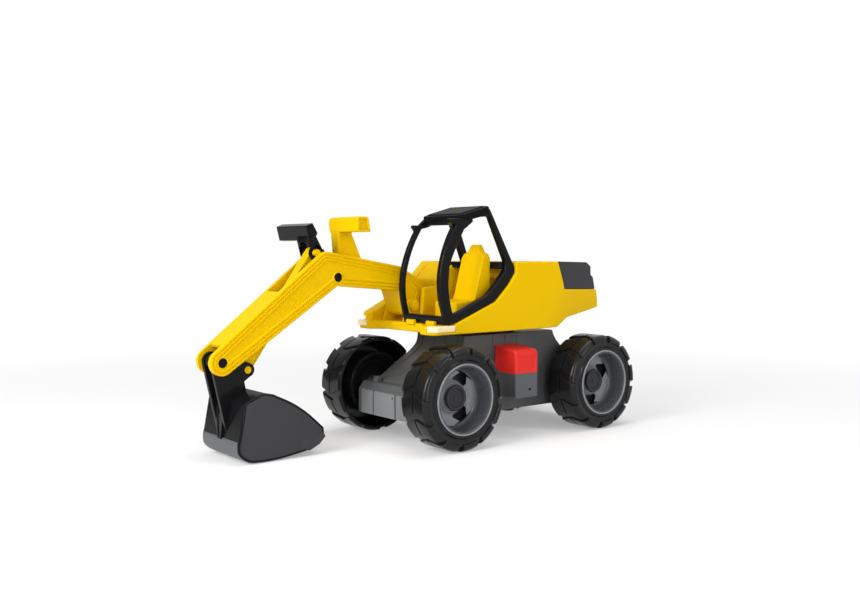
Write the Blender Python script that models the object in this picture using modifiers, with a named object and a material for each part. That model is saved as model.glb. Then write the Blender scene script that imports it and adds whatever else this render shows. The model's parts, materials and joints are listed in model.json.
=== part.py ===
"""Wheeled toy excavator, built the way it comes apart on the bench.

Metres, +Z up. The machine drives towards -Y and its left side is +X. Pieces are drawn in the
machine frame, whose origin is on the ground under the slew axis. The root empty then moves the
whole machine so that the middle of its footprint lies at the world origin.
"""

import math

import bmesh
import bpy
from mathutils import Matrix, Vector

MM = 0.001
OBJECT_NAME = "toy excavator"

# Clearances
GAP = 0.3 * MM
RUNNING = 0.5 * MM
SIDE_PLAY = 0.6 * MM
CUT_OVER = 6 * MM

# Wheels and axles
WHEEL_RADIUS = 80 * MM
WHEEL_WIDTH = 60 * MM
WHEELBASE = 310 * MM
OVERALL_WIDTH = 288 * MM
TREAD_DEPTH = 4.5 * MM
TREAD_PITCHES = 12
LUG_LENGTH = 21 * MM
LUG_SLANT = 0.4
LUG_SPLIT = 3 * MM
LUG_SHOULDER = 6 * MM
TYRE_WALL = 3 * MM
SIDEWALL_SET = 1.5 * MM
RIM_RADIUS = 55 * MM
RIM_LIP = 4.5 * MM
RIM_WALL = 3 * MM
RIM_SHOULDER = 5 * MM
DISH_DEPTH = 33 * MM
DISH_RISE = 5 * MM
HUB_RADIUS = 23 * MM
HUB_HEIGHT = 8.5 * MM
HUB_WALL = 7 * MM
WINDOW_COUNT = 3
WINDOW_ARC = math.radians(50)
WINDOW_EDGE = 3.5 * MM
CAP_RADIUS = 20 * MM
CAP_THICKNESS = 3.2 * MM
CAP_SKIRT = 3.2 * MM
CAP_SKIRT_LENGTH = 4.5 * MM
AXLE_RADIUS = 5 * MM
AXLE_END = 6.5 * MM
CLIP_RADIUS = 10 * MM
CLIP_THICKNESS = 1.5 * MM
TURN_STEPS = 32
SMALL_STEPS = 14
REAR_WHEEL_TURN = math.radians(-30)

# Undercarriage
CHASSIS_BOTTOM = 38 * MM
CHASSIS_WALL = 3.2 * MM
BLOCK_OVERHANG = 50 * MM
BLOCK_LENGTH = 95 * MM
BLOCK_TOP = 90 * MM
BLOCK_NOSE_HEIGHT = 39 * MM
BLOCK_CHAMFER = 12 * MM
PEDESTAL_HALF_WIDTH = 62 * MM
PEDESTAL_TOP = 167 * MM
PEDESTAL_HALF_TOP = 97 * MM
PEDESTAL_HALF_FOOT = 172 * MM
AXLE_BOSS_RADIUS = 11 * MM
AXLE_BOSS_HEIGHT = 5 * MM
WHEEL_CLEARANCE = 3 * MM
FLOOR_THICKNESS = 3 * MM
SCREW_RADIUS = 2 * MM
SCREW_HEAD_RADIUS = 4 * MM
SCREW_HEAD_HEIGHT = 2.2 * MM
SCREW_LENGTH = 22 * MM
SCREW_BOSS_RADIUS = 6 * MM
SCREW_INSET_X = 28 * MM
SCREW_INSET_Y = 17 * MM

# Side boxes between the wheels
SIDE_BOX_REACH = 114 * MM
SIDE_BOX_HALF_LENGTH = 25 * MM
SIDE_BOX_BOTTOM = 65 * MM
SIDE_BOX_SEAM = 105 * MM
SIDE_BOX_TOP = 143 * MM
SIDE_BOX_CROWN = 6 * MM
SIDE_BOX_WALL = 3 * MM
TOOLBOX_WALL = SIDE_BOX_WALL + 2 * MM
SIDE_BOX_CHAMFER = 5 * MM
SIDE_BOX_RIM = 5 * MM
PEG_RADIUS = 4 * MM
PEG_SPACING = 26 * MM
PEG_HEIGHT = 85 * MM
VENT_RADIUS = 2.5 * MM
VENT_Y = 7 * MM
VENT_Z = 78 * MM

# Slew bearing
SLEW_RING_INNER = 38 * MM
SLEW_RING_OUTER = 58 * MM
SLEW_RING_HEIGHT = 8 * MM
SPIGOT_RADIUS = 16 * MM
RETAINER_RADIUS = 26 * MM
RETAINER_THICKNESS = 4 * MM
SLEW_SCREW_RADIUS = 3 * MM
SLEW_SCREW_HEAD_RADIUS = 7 * MM
SLEW_SCREW_HEAD_HEIGHT = 3.2 * MM
SLEW_SCREW_LENGTH = 24 * MM

# Deck
DECK_HALF_WIDTH = 103 * MM
DECK_FRONT = -187 * MM
DECK_RECESS = 24 * MM
DECK_HORN = 32 * MM
DECK_HEIGHT = 14 * MM
DECK_SKIN = 4 * MM
DECK_REAR = 85 * MM
TAIL_KICK = 27 * MM
TAIL_KICK_RISE = 15 * MM
TAIL_END = 200 * MM
TAIL_BOTTOM = 204 * MM
TAIL_SKIN = 3.5 * MM
TAPER_START = 80 * MM
TAIL_HALF_WIDTH = 84 * MM
CORNER_CHAMFER = 9 * MM
LAMP_FLANK = 45 * MM
LAMP_FRONT = 16 * MM
LAMP_DEPTH = 7 * MM
LAMP_LIP = 4 * MM

# Upper body
HOUSE_TOP = 286 * MM
HOUSE_WALL = 4 * MM
HOUSE_FRONT = -14 * MM
ENGINE_FRONT = 83 * MM
ENGINE_SEAM = 239 * MM
ENGINE_SLANT = 17 * MM
ENGINE_WALL = 3 * MM
ENGINE_INSET = 2 * MM
HOOD_INNER = -77 * MM
HOOD_NOSE = -174 * MM
HOOD_NOSE_TOP = 201 * MM
HOOD_BEND = (-131 * MM, 222 * MM)
HOOD_BROW = (-80 * MM, 256 * MM)
HOOD_CREST = -49 * MM
BAY_BACK = -82 * MM
CAB_RIGHT = -11 * MM
FLANK_WALL = 14 * MM
COCKPIT_WALL = 9 * MM
COCKPIT_FLOOR = 4 * MM
COCKPIT_FRONT = -130 * MM
COCKPIT_BACK = -20 * MM

# Cab
CAB_LEFT = 101 * MM
CAB_THICKNESS = 11 * MM
CAB_RIGHT_THICKNESS = 8 * MM
CAB_LEAN_LEFT = 0.032
CAB_LEAN_RIGHT = 0.075
CAB_FRONT_FOOT = -157 * MM
CAB_FOOT_LENGTH = 16 * MM
CAB_SILL_MID = (-108 * MM, 202 * MM)
CAB_SILL_REAR = (-50 * MM, 222 * MM)
CAB_REAR_CORNER = (-14 * MM, 271 * MM)
CAB_BULGE = (-169 * MM, 252 * MM)
CAB_SHOULDER = (-154 * MM, 313 * MM)
CAB_ROOF_FRONT = (-122 * MM, 355 * MM)
CAB_ROOF_REAR = (-64 * MM, 371 * MM)
CAB_PILLAR_LEFT = 21 * MM
CAB_PILLAR_RIGHT = 10 * MM
CAB_REAR_PILLAR = 12 * MM
CAB_BEND = 7 * MM
CAB_SILL = 12 * MM
CAB_HEADER = 13 * MM
CAB_BAR = 13 * MM
CAB_RAIL_TOP = 289 * MM
ROOF_THICKNESS = 5 * MM
ROOF_OVERHANG = 1.5 * MM
ROOF_PANEL = 3 * MM
ROOF_PANEL_INSET = 10 * MM

# Seat
SEAT_CENTRE = 48 * MM
SEAT_WIDTH = 52 * MM
SEAT_CUSHION_FRONT = -118 * MM
SEAT_CUSHION_TOP = 222 * MM
SEAT_BACK_FOOT = -90 * MM
SEAT_REAR = -46 * MM
SEAT_SHOULDER = 287 * MM
SEAT_HEAD = 312 * MM
SEAT_HEAD_FRONT = -66 * MM
SEAT_HEAD_WIDTH = 20 * MM

# Boom
BOOM_CENTRE = -42 * MM
BOOM_WIDTH = 50 * MM
BOOM_WALL = 8 * MM
BOOM_WEB = 4.5 * MM
ROOT_PIN = (-136 * MM, 214 * MM)
KNEE_PIN = (-278 * MM, 263 * MM)
BUCKET_PIN = (-474 * MM, 144 * MM)
EAR_RADIUS = 19 * MM
KNEE_RISE = 48 * MM
KNEE_DROP = 11 * MM
CROWN_END = (-42 * MM, 54 * MM)
NECK_TOP = (-9 * MM, 48 * MM)
NECK_REAR = (18 * MM, 34 * MM)
ROOT_RADIUS = 21 * MM
BELLY_FRONT = (6 * MM, -13 * MM)
BELLY_REAR = (-43 * MM, 19 * MM)
SLOT_FRONT = 128 * MM
SLOT_REAR = 15 * MM
WEB_START = 22 * MM
UNDER_OPEN = 88 * MM
ROOT_BLOCK = 30 * MM
PIN_RADIUS = 4.5 * MM
PIN_HEAD_RADIUS = 7 * MM
PIN_HEAD_THICKNESS = 3 * MM
PIN_RECESS = 4 * MM
ROOT_EAR_RADIUS = 13 * MM
ROOT_EAR_THICKNESS = 4.6 * MM

# Boom grip
GRIP_STEM_WIDTH = 16 * MM
GRIP_STEM_FRONT = 11 * MM
GRIP_STEM_REAR = 55 * MM
GRIP_BAR_DEPTH = 20 * MM
GRIP_BAR_HEIGHT = 21 * MM
GRIP_BAR_TOP = 355 * MM
GRIP_BAR_FRONT = -267 * MM
GRIP_REACH = 21 * MM
GRIP_BAR_PAST = 12 * MM
GRIP_TENON_WIDTH = 10 * MM
GRIP_TENON_DEPTH = 4 * MM
GRIP_TENON_INSET = 14 * MM

# Lever, push rod and bucket linkage
LEVER_ARM = (-32 * MM, 38 * MM)
GRIP_ARM = (-41 * MM, 70 * MM)
BUCKET_ARM = (44 * MM, -14 * MM)
BUCKET_CURL = (math.radians(-44), math.radians(22))
LEVER_PER_BUCKET = -0.95
LINK_WIDTH = 18 * MM
CHEEK_THICKNESS = 7 * MM
LINK_PIN_RADIUS = 5.5 * MM
ROD_EYE_RADIUS = 8.5 * MM
LEVER_BOSS_RADIUS = 8.2 * MM
LEVER_BODY_RADIUS = 12.5 * MM
LEVER_NECK_RADIUS = 7.5 * MM
LEVER_GRIP_RADIUS = 13.5 * MM
LEVER_GRIP_REACH = 58 * MM
LEVER_GRIP_TILT = math.radians(12)
LUG_RADIUS = 10.5 * MM
LUG_PIN_RADIUS = 14 * MM

# Bucket, measured from its pin
BUCKET_WIDTH = 118 * MM
BUCKET_WALL = 4 * MM
BUCKET_TIP = (149 * MM, -118 * MM)
BUCKET_TIP_RISE = 19 * MM
BUCKET_TOE = (122 * MM, -135 * MM)
BUCKET_SOLE = (72 * MM, -143 * MM)
BUCKET_HEEL = (33 * MM, -143.5 * MM)
BUCKET_HEEL_BACK = (9 * MM, -128 * MM)
BUCKET_SPINE = (5 * MM, -106 * MM)
BUCKET_BACK_TOP = (17 * MM, -55 * MM)
BUCKET_CROWN = (47 * MM, -43 * MM)
BUCKET_BROW = (85 * MM, -58 * MM)
BUCKET_CHEEK = (122 * MM, -82 * MM)

# Colours: red, green, blue, roughness, metallic
FINISHES = {
    "yellow plastic": (0.80, 0.50, 0.005, 0.35, 0.0),
    "black gloss plastic": (0.010, 0.010, 0.012, 0.22, 0.0),
    "tyre plastic": (0.012, 0.012, 0.013, 0.30, 0.0),
    "dark grey plastic": (0.060, 0.060, 0.065, 0.40, 0.0),
    "bucket plastic": (0.045, 0.045, 0.050, 0.45, 0.0),
    "red plastic": (0.72, 0.035, 0.025, 0.35, 0.0),
    "lamp plastic": (0.85, 0.80, 0.66, 0.25, 0.0),
    "steel": (0.55, 0.55, 0.57, 0.35, 1.0),
}


def fresh_collection(name, hidden=False):
    """Return an empty collection linked to the scene; a hidden one is left out of renders."""
    made = bpy.data.collections.new(name)
    bpy.context.scene.collection.children.link(made)
    made.hide_render = hidden
    return made


def make_finish(name):
    """Return a Principled material from the table of finishes."""
    red, green, blue, roughness, metallic = FINISHES[name]
    finish = bpy.data.materials.new(name)
    finish.use_nodes = True
    shader = finish.node_tree.nodes["Principled BSDF"]
    shader.inputs["Base Color"].default_value = (red, green, blue, 1)
    shader.inputs["Roughness"].default_value = roughness
    shader.inputs["Metallic"].default_value = metallic
    finish.diffuse_color = (red, green, blue, 1)
    return finish


for leftover in list(bpy.data.objects):
    bpy.data.objects.remove(leftover)
PARTS = fresh_collection(OBJECT_NAME)
CUTTERS = fresh_collection(OBJECT_NAME + " cutters", hidden=True)
FINISH = {name: make_finish(name) for name in FINISHES}


class Body:
    """An empty on a joint's axis, which carries the pieces that move together."""

    def __init__(self, name, pivot, parent=None, turn=(0, 0, 0)):
        self.pivot = Vector(pivot)
        self.empty = bpy.data.objects.new(name, None)
        self.empty.empty_display_size = 0.02
        PARTS.objects.link(self.empty)
        self.empty.rotation_euler = turn
        self.empty.location = self.pivot
        if parent:
            self.empty.parent = parent.empty
            self.empty.location = self.pivot - parent.pivot


class Piece:
    """One named solid. Its mesh is given in the machine frame, unless it is local to its body."""

    def __init__(self, name, mesh, body, finish, local=False):
        self.body = body
        self.local = local
        self.shape = bpy.data.objects.new(name, mesh)
        self.settle(self.shape, mesh, PARTS)
        if not mesh.materials:
            mesh.materials.append(FINISH[finish])

    def settle(self, shape, mesh, collection):
        """Link a shape and hang it on the body."""
        collection.objects.link(shape)
        shape.parent = self.body.empty
        if not self.local:
            mesh.transform(Matrix.Translation(-self.body.pivot))

    def boolean(self, mesh, operation):
        """Add a live Boolean with a hidden cutter."""
        count = len(self.shape.modifiers) + 1
        cutter = bpy.data.objects.new(f"{self.shape.name} {operation.lower()} {count}", mesh)
        self.settle(cutter, mesh, CUTTERS)
        cutter.hide_render = True
        cutter.display_type = "WIRE"
        modifier = self.shape.modifiers.new(cutter.name, "BOOLEAN")
        modifier.operation = operation
        modifier.solver = "EXACT"
        modifier.object = cutter
        return self

    def cut(self, *meshes):
        """Take shapes away."""
        for mesh in meshes:
            self.boolean(mesh, "DIFFERENCE")
        return self

    def join(self, *meshes):
        """Add shapes that overlap the piece."""
        for mesh in meshes:
            self.boolean(mesh, "UNION")
        return self

    def keep_common(self, mesh):
        """Keep only what the piece shares with a shape."""
        return self.boolean(mesh, "INTERSECT")


def evaluated_mesh(shape):
    """Return the welded mesh of a helper object as its modifiers make it, and remove the helper."""
    bpy.context.scene.collection.objects.link(shape)
    graph = bpy.context.evaluated_depsgraph_get()
    mesh = bpy.data.meshes.new_from_object(shape.evaluated_get(graph))
    bpy.data.objects.remove(shape)
    work = bmesh.new()
    work.from_mesh(mesh)
    bmesh.ops.remove_doubles(work, verts=work.verts, dist=0.00001)
    bmesh.ops.recalc_face_normals(work, faces=work.faces)
    work.to_mesh(mesh)
    work.free()
    return mesh


def flat_solid(outlines, thickness, basis):
    """Extrude closed outlines both ways from their plane; an outline inside another is a hole."""
    curve = bpy.data.curves.new("outline", "CURVE")
    curve.dimensions = "2D"
    curve.fill_mode = "BOTH"
    curve.extrude = thickness / 2
    for outline in outlines:
        spline = curve.splines.new("POLY")
        spline.points.add(len(outline) - 1)
        for point, (u, v) in zip(spline.points, outline):
            point.co = (u, v, 0, 1)
        spline.use_cyclic_u = True
    mesh = evaluated_mesh(bpy.data.objects.new("outline", curve))
    mesh.transform(basis)
    return mesh


def side_solid(outline, low, high, *holes):
    """A side view outline of (y, z) points, from x = low to x = high."""
    basis = Matrix(((0, 0, 1, (low + high) / 2), (1, 0, 0, 0), (0, 1, 0, 0), (0, 0, 0, 1)))
    return flat_solid((outline, *holes), high - low, basis)


def top_solid(outline, low, high, *holes):
    """A plan outline of (x, y) points, from z = low to z = high."""
    return flat_solid((outline, *holes), high - low, Matrix.Translation((0, 0, (low + high) / 2)))


def front_solid(outline, low, high, *holes):
    """A front view outline of (x, z) points, from y = low to y = high."""
    basis = Matrix(((1, 0, 0, 0), (0, 0, -1, (low + high) / 2), (0, 1, 0, 0), (0, 0, 0, 1)))
    return flat_solid((outline, *holes), high - low, basis)


def box(x_range, y_range, z_range):
    """A box between pairs of limits."""
    low, high = (Vector(corner) for corner in zip(x_range, y_range, z_range))
    work = bmesh.new()
    matrix = Matrix.Translation((low + high) / 2) @ Matrix.Diagonal((*(high - low), 1))
    bmesh.ops.create_cube(work, size=1, matrix=matrix)
    mesh = bpy.data.meshes.new("box")
    work.to_mesh(mesh)
    work.free()
    return mesh


def bar(radius, start, end, sides=24, turn=0.0):
    """A round or many-sided bar from one point to another."""
    start, end = Vector(start), Vector(end)
    along = end - start
    facing = along.to_track_quat("Z", "Y").to_matrix().to_4x4()
    matrix = Matrix.Translation((start + end) / 2) @ facing @ Matrix.Rotation(turn, 4, "Z")
    work = bmesh.new()
    bmesh.ops.create_cone(
        work,
        cap_ends=True,
        segments=sides,
        radius1=radius,
        radius2=radius,
        depth=along.length,
        matrix=matrix,
    )
    mesh = bpy.data.meshes.new("bar")
    work.to_mesh(mesh)
    work.free()
    mesh.shade_smooth()
    mesh.set_sharp_from_angle(angle=math.radians(40))
    return mesh


def cross_bar(radius, low, high, place, sides=24, turn=0.0):
    """A bar along X through a side view point."""
    return bar(radius, (low, *place), (high, *place), sides, turn)


def post(radius, place, low, high, sides=24):
    """An upright bar at a plan point."""
    return bar(radius, (*place, low), (*place, high), sides)


def turned(profile, upright=False, closed=True, steps=TURN_STEPS):
    """Turn a profile of (along, radius) points about the X axis, or about Z if upright."""
    mesh = bpy.data.meshes.new("profile")
    work = bmesh.new()
    points = [work.verts.new((along, 0, radius)) for along, radius in profile]
    for first, second in zip(points, points[1:]):
        work.edges.new((first, second))
    if closed:
        work.edges.new((points[-1], points[0]))
    work.to_mesh(mesh)
    work.free()
    helper = bpy.data.objects.new("profile", mesh)
    screw = helper.modifiers.new("turn", "SCREW")
    screw.axis = "X"
    screw.steps = screw.render_steps = steps
    screw.use_merge_vertices = True
    screw.merge_threshold = 0.00001
    made = evaluated_mesh(helper)
    if upright:
        made.transform(Matrix.Rotation(-math.pi / 2, 4, "Y"))
    made.shade_smooth()
    made.set_sharp_from_angle(angle=math.radians(40))
    return made


def combined(meshes):
    """Put meshes that don't touch into one mesh."""
    work = bmesh.new()
    for mesh in meshes:
        work.from_mesh(mesh)
    made = bpy.data.meshes.new("combined")
    work.to_mesh(made)
    work.free()
    return made


def arc(centre, radius, start, end, count):
    """Points on an arc, from one angle to another in degrees."""
    angles = [math.radians(start + (end - start) * step / count) for step in range(count + 1)]
    return [(centre[0] + radius * math.cos(a), centre[1] + radius * math.sin(a)) for a in angles]


def hull(points):
    """The convex outline round a set of points, counterclockwise."""
    ordered = sorted(set(points))

    def half(run):
        """One side of the hull."""
        kept = []
        for point in run:
            while len(kept) > 1 and turn_of(kept[-2], kept[-1], point) <= 0:
                kept.pop()
            kept.append(point)
        return kept[:-1]

    return half(ordered) + half(reversed(ordered))


def turn_of(first, second, third):
    """Positive when three points turn counterclockwise."""
    return (second[0] - first[0]) * (third[1] - first[1]) - (second[1] - first[1]) * (third[0] - first[0])


def offset(points, distance, closed=False):
    """Move an outline or an open line to its left by a distance, with mitred corners."""
    moved = []
    last = len(points) - 1
    for index, point in enumerate(points):
        here = Vector(point)
        before = Vector(points[index - 1]) if closed or index else None
        after = Vector(points[(index + 1) % len(points)]) if closed or index < last else None
        sides = [pair for pair in ((before, here), (here, after)) if None not in pair]
        normals = [(b - a).normalized().orthogonal() for a, b in sides]
        mean = sum(normals, Vector((0, 0))).normalized()
        moved.append(tuple(here + mean * (distance / mean.dot(normals[0]))))
    return moved


def rounded(corners, steps=4):
    """Round the corners of an outline of (u, v, radius) points."""
    outline = []
    for index, (u, v, radius) in enumerate(corners):
        here = Vector((u, v))
        back = (Vector(corners[index - 1][:2]) - here).normalized()
        ahead = (Vector(corners[(index + 1) % len(corners)][:2]) - here).normalized()
        half_angle = back.angle(ahead) / 2
        if radius == 0:
            outline.append((u, v))
            continue
        reach = radius / math.tan(half_angle)
        centre = here + (back + ahead).normalized() * (radius / math.sin(half_angle))
        first = here + back * reach - centre
        swing = first.angle_signed(here + ahead * reach - centre)
        for step in range(steps + 1):
            spoke = first.copy()
            spoke.rotate(Matrix.Rotation(-swing * step / steps, 2))
            outline.append(tuple(centre + spoke))
    return outline


def smooth(points, steps=3):
    """A curve through points, by the Catmull-Rom rule."""
    line = [Vector(point) for point in points]
    line = [2 * line[0] - line[1]] + line + [2 * line[-1] - line[-2]]
    curve = []
    for before, start, end, after in zip(line, line[1:], line[2:], line[3:]):
        for step in range(steps):
            t = step / steps
            square = (2 * before - 5 * start + 4 * end - after) * t * t
            cube = (3 * start - before - 3 * end + after) * t ** 3
            curve.append(tuple(start + ((end - before) * t + square + cube) / 2))
    return curve + [tuple(points[-1])]


def turned_point(point, angle):
    """A side view vector turned about X."""
    cosine, sine = math.cos(angle), math.sin(angle)
    return (point[0] * cosine - point[1] * sine, point[0] * sine + point[1] * cosine)


def plus(first, second):
    """The sum of two side view points."""
    return (first[0] + second[0], first[1] + second[1])


def mirrored_line(points):
    """A line of points with y > 0, carried on as its mirror image with y < 0."""
    return list(points) + [(-y, z) for y, z in reversed(points)]


class Run:
    """A side view direction from one pin towards another, with places along and above it."""

    def __init__(self, start, end, up):
        self.start = Vector(start)
        self.along = (Vector(end) - self.start).normalized()
        self.length = (Vector(end) - self.start).length
        self.up = self.along.orthogonal() * up

    def at(self, along, above):
        """A point some way along the run and above it."""
        return tuple(self.start + self.along * along + self.up * above)


# Places worked out from the sizes
WHEEL_CENTRE = (OVERALL_WIDTH - WHEEL_WIDTH) / 2
AXLE_Y = WHEELBASE / 2
FRONT_REACH = EAR_RADIUS - BUCKET_PIN[0]
REAR_REACH = AXLE_Y + WHEEL_RADIUS
DECK_BOTTOM = PEDESTAL_TOP + SLEW_RING_HEIGHT
DECK_TOP = DECK_BOTTOM + DECK_HEIGHT
HOUSE_BASE = DECK_TOP + GAP
CAB_BASE = DECK_TOP + GAP
BOOM_LEFT = BOOM_CENTRE + BOOM_WIDTH / 2
BOOM_RIGHT = BOOM_CENTRE - BOOM_WIDTH / 2
CHANNEL_HALF = BOOM_WIDTH / 2 - BOOM_WALL
LINK_HALF = LINK_WIDTH / 2 + SIDE_PLAY + CHEEK_THICKNESS
ROD_PIN_TOP = plus(KNEE_PIN, LEVER_ARM)
ROD_PIN_BOTTOM = plus(BUCKET_PIN, BUCKET_ARM)

ROOT = Body("machine", (0, 0, 0))
ROOT.empty.location.y = (FRONT_REACH - REAR_REACH) / 2
SLEW = Body("slew axis", (0, 0, DECK_BOTTOM), ROOT)
BOOM = Body("boom axis", (BOOM_CENTRE, *ROOT_PIN), SLEW)
LEVER = Body("lever axis", (BOOM_CENTRE, *KNEE_PIN), BOOM)
BUCKET = Body("bucket axis", (BOOM_CENTRE, *BUCKET_PIN), BOOM)
ROD = Body("push rod axis", (BOOM_CENTRE, *ROD_PIN_BOTTOM), BUCKET)


def tyre_mesh():
    """The hollow casing, open towards the chassis, before its lugs are joined."""
    face = WHEEL_WIDTH / 2 - SIDEWALL_SET
    casing = WHEEL_RADIUS - TREAD_DEPTH
    bead = RIM_RADIUS + GAP
    outside = [(-face, casing), (face - 9 * MM, casing), (face - 2 * MM, casing - 4 * MM)]
    outside += [(face, casing - 10 * MM), (face, bead)]
    inner_face = face - TYRE_WALL
    inside = [(inner_face, bead), (inner_face, casing - 11 * MM), (face - 5 * MM, casing - 6.5 * MM)]
    inside += [(face - 10.5 * MM, casing - TYRE_WALL), (-face, casing - TYRE_WALL)]
    return turned(outside + inside)


def lug_mesh(outer):
    """One tread lug at the bottom of the wheel: it is flat where it meets the ground."""
    edge = WHEEL_WIDTH / 2
    casing = WHEEL_RADIUS - TREAD_DEPTH
    sunk = casing - 0.75 * TYRE_WALL
    shoulder = [(edge - LUG_SHOULDER, WHEEL_RADIUS), (LUG_SPLIT, WHEEL_RADIUS), (LUG_SPLIT, sunk)]
    if outer:
        skirt = [(edge - 11 * MM, sunk), (edge - 5 * MM, casing - 6 * MM), (edge - 3 * MM, casing - 9 * MM)]
        skirt += [(edge, casing - 9.5 * MM)]
    else:
        skirt = [(edge, sunk)]
    outline = shoulder + skirt + [(edge, WHEEL_RADIUS - LUG_SHOULDER)]
    mesh = front_solid([(along, -radius) for along, radius in outline], -LUG_LENGTH / 2, LUG_LENGTH / 2)
    slant = Matrix.Identity(4)
    slant[1][0] = LUG_SLANT
    mesh.transform(slant @ Matrix.Translation((-edge / 2 - LUG_SPLIT / 2, 0, 0)))
    mesh.transform(Matrix.Translation((edge / 2 + LUG_SPLIT / 2, 0, 0)))
    if not outer:
        mesh.transform(Matrix.Rotation(math.pi, 4, "Z"))
    return mesh


def tread_mesh():
    """All the lugs of a wheel, in pairs that point forward like arrows."""
    pitch = 2 * math.pi / TREAD_PITCHES
    lugs = []
    for step in range(TREAD_PITCHES):
        for outer in (True, False):
            lug = lug_mesh(outer)
            lug.transform(Matrix.Rotation(pitch * step, 4, "X"))
            lugs.append(lug)
    return combined(lugs)


def rim_mesh():
    """The deep dished rim with its barrel, hub and axle bore, before its windows are cut."""
    face = WHEEL_WIDTH / 2 - SIDEWALL_SET
    floor = face - DISH_DEPTH
    seat = face - TYRE_WALL - GAP
    barrel = RIM_RADIUS - RIM_LIP
    outer = RIM_RADIUS - GAP
    well = barrel - RIM_WALL
    back = floor - RIM_WALL
    inboard = BLOCK_HALF_WIDTH + AXLE_BOSS_HEIGHT + RUNNING - WHEEL_CENTRE
    sleeve = AXLE_RADIUS + RUNNING + HUB_WALL
    counterbore = CAP_RADIUS - CAP_SKIRT
    hub_face = floor + HUB_HEIGHT
    profile = [(face + SIDEWALL_SET, barrel), (face + SIDEWALL_SET, outer), (seat, outer)]
    profile += [(seat, RIM_RADIUS + RIM_SHOULDER), (seat - RIM_WALL, RIM_RADIUS + RIM_SHOULDER)]
    profile += [(seat - RIM_WALL, barrel + RIM_WALL / 2), (-face + 4 * MM, barrel + RIM_WALL / 2)]
    profile += [(-face + 4 * MM, well + RIM_WALL / 2), (back + DISH_RISE, well + RIM_WALL / 2)]
    profile += [(back, HUB_RADIUS), (back, sleeve), (inboard, sleeve), (inboard, AXLE_RADIUS + RUNNING)]
    profile += [(floor + 1 * MM, AXLE_RADIUS + RUNNING), (floor + 1 * MM, counterbore)]
    profile += [(hub_face, counterbore), (hub_face, HUB_RADIUS), (floor, HUB_RADIUS)]
    profile += [(floor + DISH_RISE, well)]
    return turned(profile)


def window_meshes(turn):
    """The openings between the spokes of the rim, which is turned on its axle."""
    floor = WHEEL_WIDTH / 2 - SIDEWALL_SET - DISH_DEPTH
    inner = HUB_RADIUS + WINDOW_EDGE
    outer = RIM_RADIUS - RIM_LIP - RIM_WALL - WINDOW_EDGE
    half = math.degrees(WINDOW_ARC / 2)
    for step in range(WINDOW_COUNT):
        middle = 60 + math.degrees(turn) + step * 360 / WINDOW_COUNT
        outline = arc((0, 0), outer, middle - half, middle + half, 5)
        outline += arc((0, 0), inner, middle + half * 0.8, middle - half * 0.8, 3)
        yield side_solid(outline, floor - CUT_OVER, floor + DISH_RISE + CUT_OVER)


def cap_mesh():
    """The hub cap: a disc with a skirt that plugs into the hub."""
    seat = WHEEL_WIDTH / 2 - SIDEWALL_SET - DISH_DEPTH + HUB_HEIGHT + GAP
    outer = CAP_RADIUS - CAP_SKIRT - GAP
    profile = [(seat + CAP_THICKNESS, 0), (seat + CAP_THICKNESS, CAP_RADIUS - 1.5 * MM)]
    profile += [(seat + CAP_THICKNESS - 1.5 * MM, CAP_RADIUS), (seat, CAP_RADIUS), (seat, outer)]
    profile += [(seat - CAP_SKIRT_LENGTH, outer), (seat - CAP_SKIRT_LENGTH, outer - CAP_SKIRT)]
    profile += [(seat, outer - CAP_SKIRT), (seat, 0)]
    return turned(profile, closed=False)


def build_wheels():
    """Four wheels: each a tyre, a rim and a cap that turn together."""
    for end, sign in (("front", -1), ("rear", 1)):
        for side, out in (("left", 1), ("right", -1)):
            centre = (out * WHEEL_CENTRE, sign * AXLE_Y, WHEEL_RADIUS)
            turn = out * REAR_WHEEL_TURN if sign > 0 else 0
            body = Body(f"{end} {side} wheel axis", centre, ROOT, (0, 0, 0 if out > 0 else math.pi))
            tyre = Piece(f"tyre_{end}_{side}", tyre_mesh(), body, "tyre plastic", local=True)
            tyre.join(tread_mesh())
            rim = Piece(f"rim_{end}_{side}", rim_mesh(), body, "dark grey plastic", local=True)
            rim.cut(*window_meshes(turn))
            Piece(f"hub_cap_{end}_{side}", cap_mesh(), body, "dark grey plastic", local=True)


def build_axles():
    """Two steel axle rods, and the clips that keep the wheels on them."""
    floor = WHEEL_CENTRE + WHEEL_WIDTH / 2 - SIDEWALL_SET - DISH_DEPTH
    end = floor + AXLE_END
    for name, sign in (("front_axle", -1), ("rear_axle", 1)):
        Piece(name, cross_bar(AXLE_RADIUS, -end, end, (sign * AXLE_Y, WHEEL_RADIUS)), ROOT, "steel")
    low = floor + 1 * MM + RUNNING
    bore = AXLE_RADIUS + GAP
    for side, out in (("left", 1), ("right", -1)):
        for end_name, sign in (("front", -1), ("rear", 1)):
            ends = (out * low, out * (low + CLIP_THICKNESS))
            profile = [(ends[0], CLIP_RADIUS), (ends[1], CLIP_RADIUS), (ends[1], bore), (ends[0], bore)]
            clip = turned(profile, steps=SMALL_STEPS)
            clip.transform(Matrix.Translation((0, sign * AXLE_Y, WHEEL_RADIUS)))
            Piece(f"axle_clip_{end_name}_{side}", clip, ROOT, "steel")


BLOCK_HALF_WIDTH = WHEEL_CENTRE - WHEEL_WIDTH / 2 - WHEEL_CLEARANCE - AXLE_BOSS_HEIGHT
BLOCK_NOSE = AXLE_Y + BLOCK_OVERHANG
BLOCK_BACK = BLOCK_NOSE - BLOCK_LENGTH


def block_line():
    """The front and top of an axle block, seen from the side."""
    nose_top = CHASSIS_BOTTOM + BLOCK_NOSE_HEIGHT
    return [(BLOCK_NOSE, CHASSIS_BOTTOM), (BLOCK_NOSE, nose_top), (BLOCK_NOSE - BLOCK_CHAMFER, BLOCK_TOP)]


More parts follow.
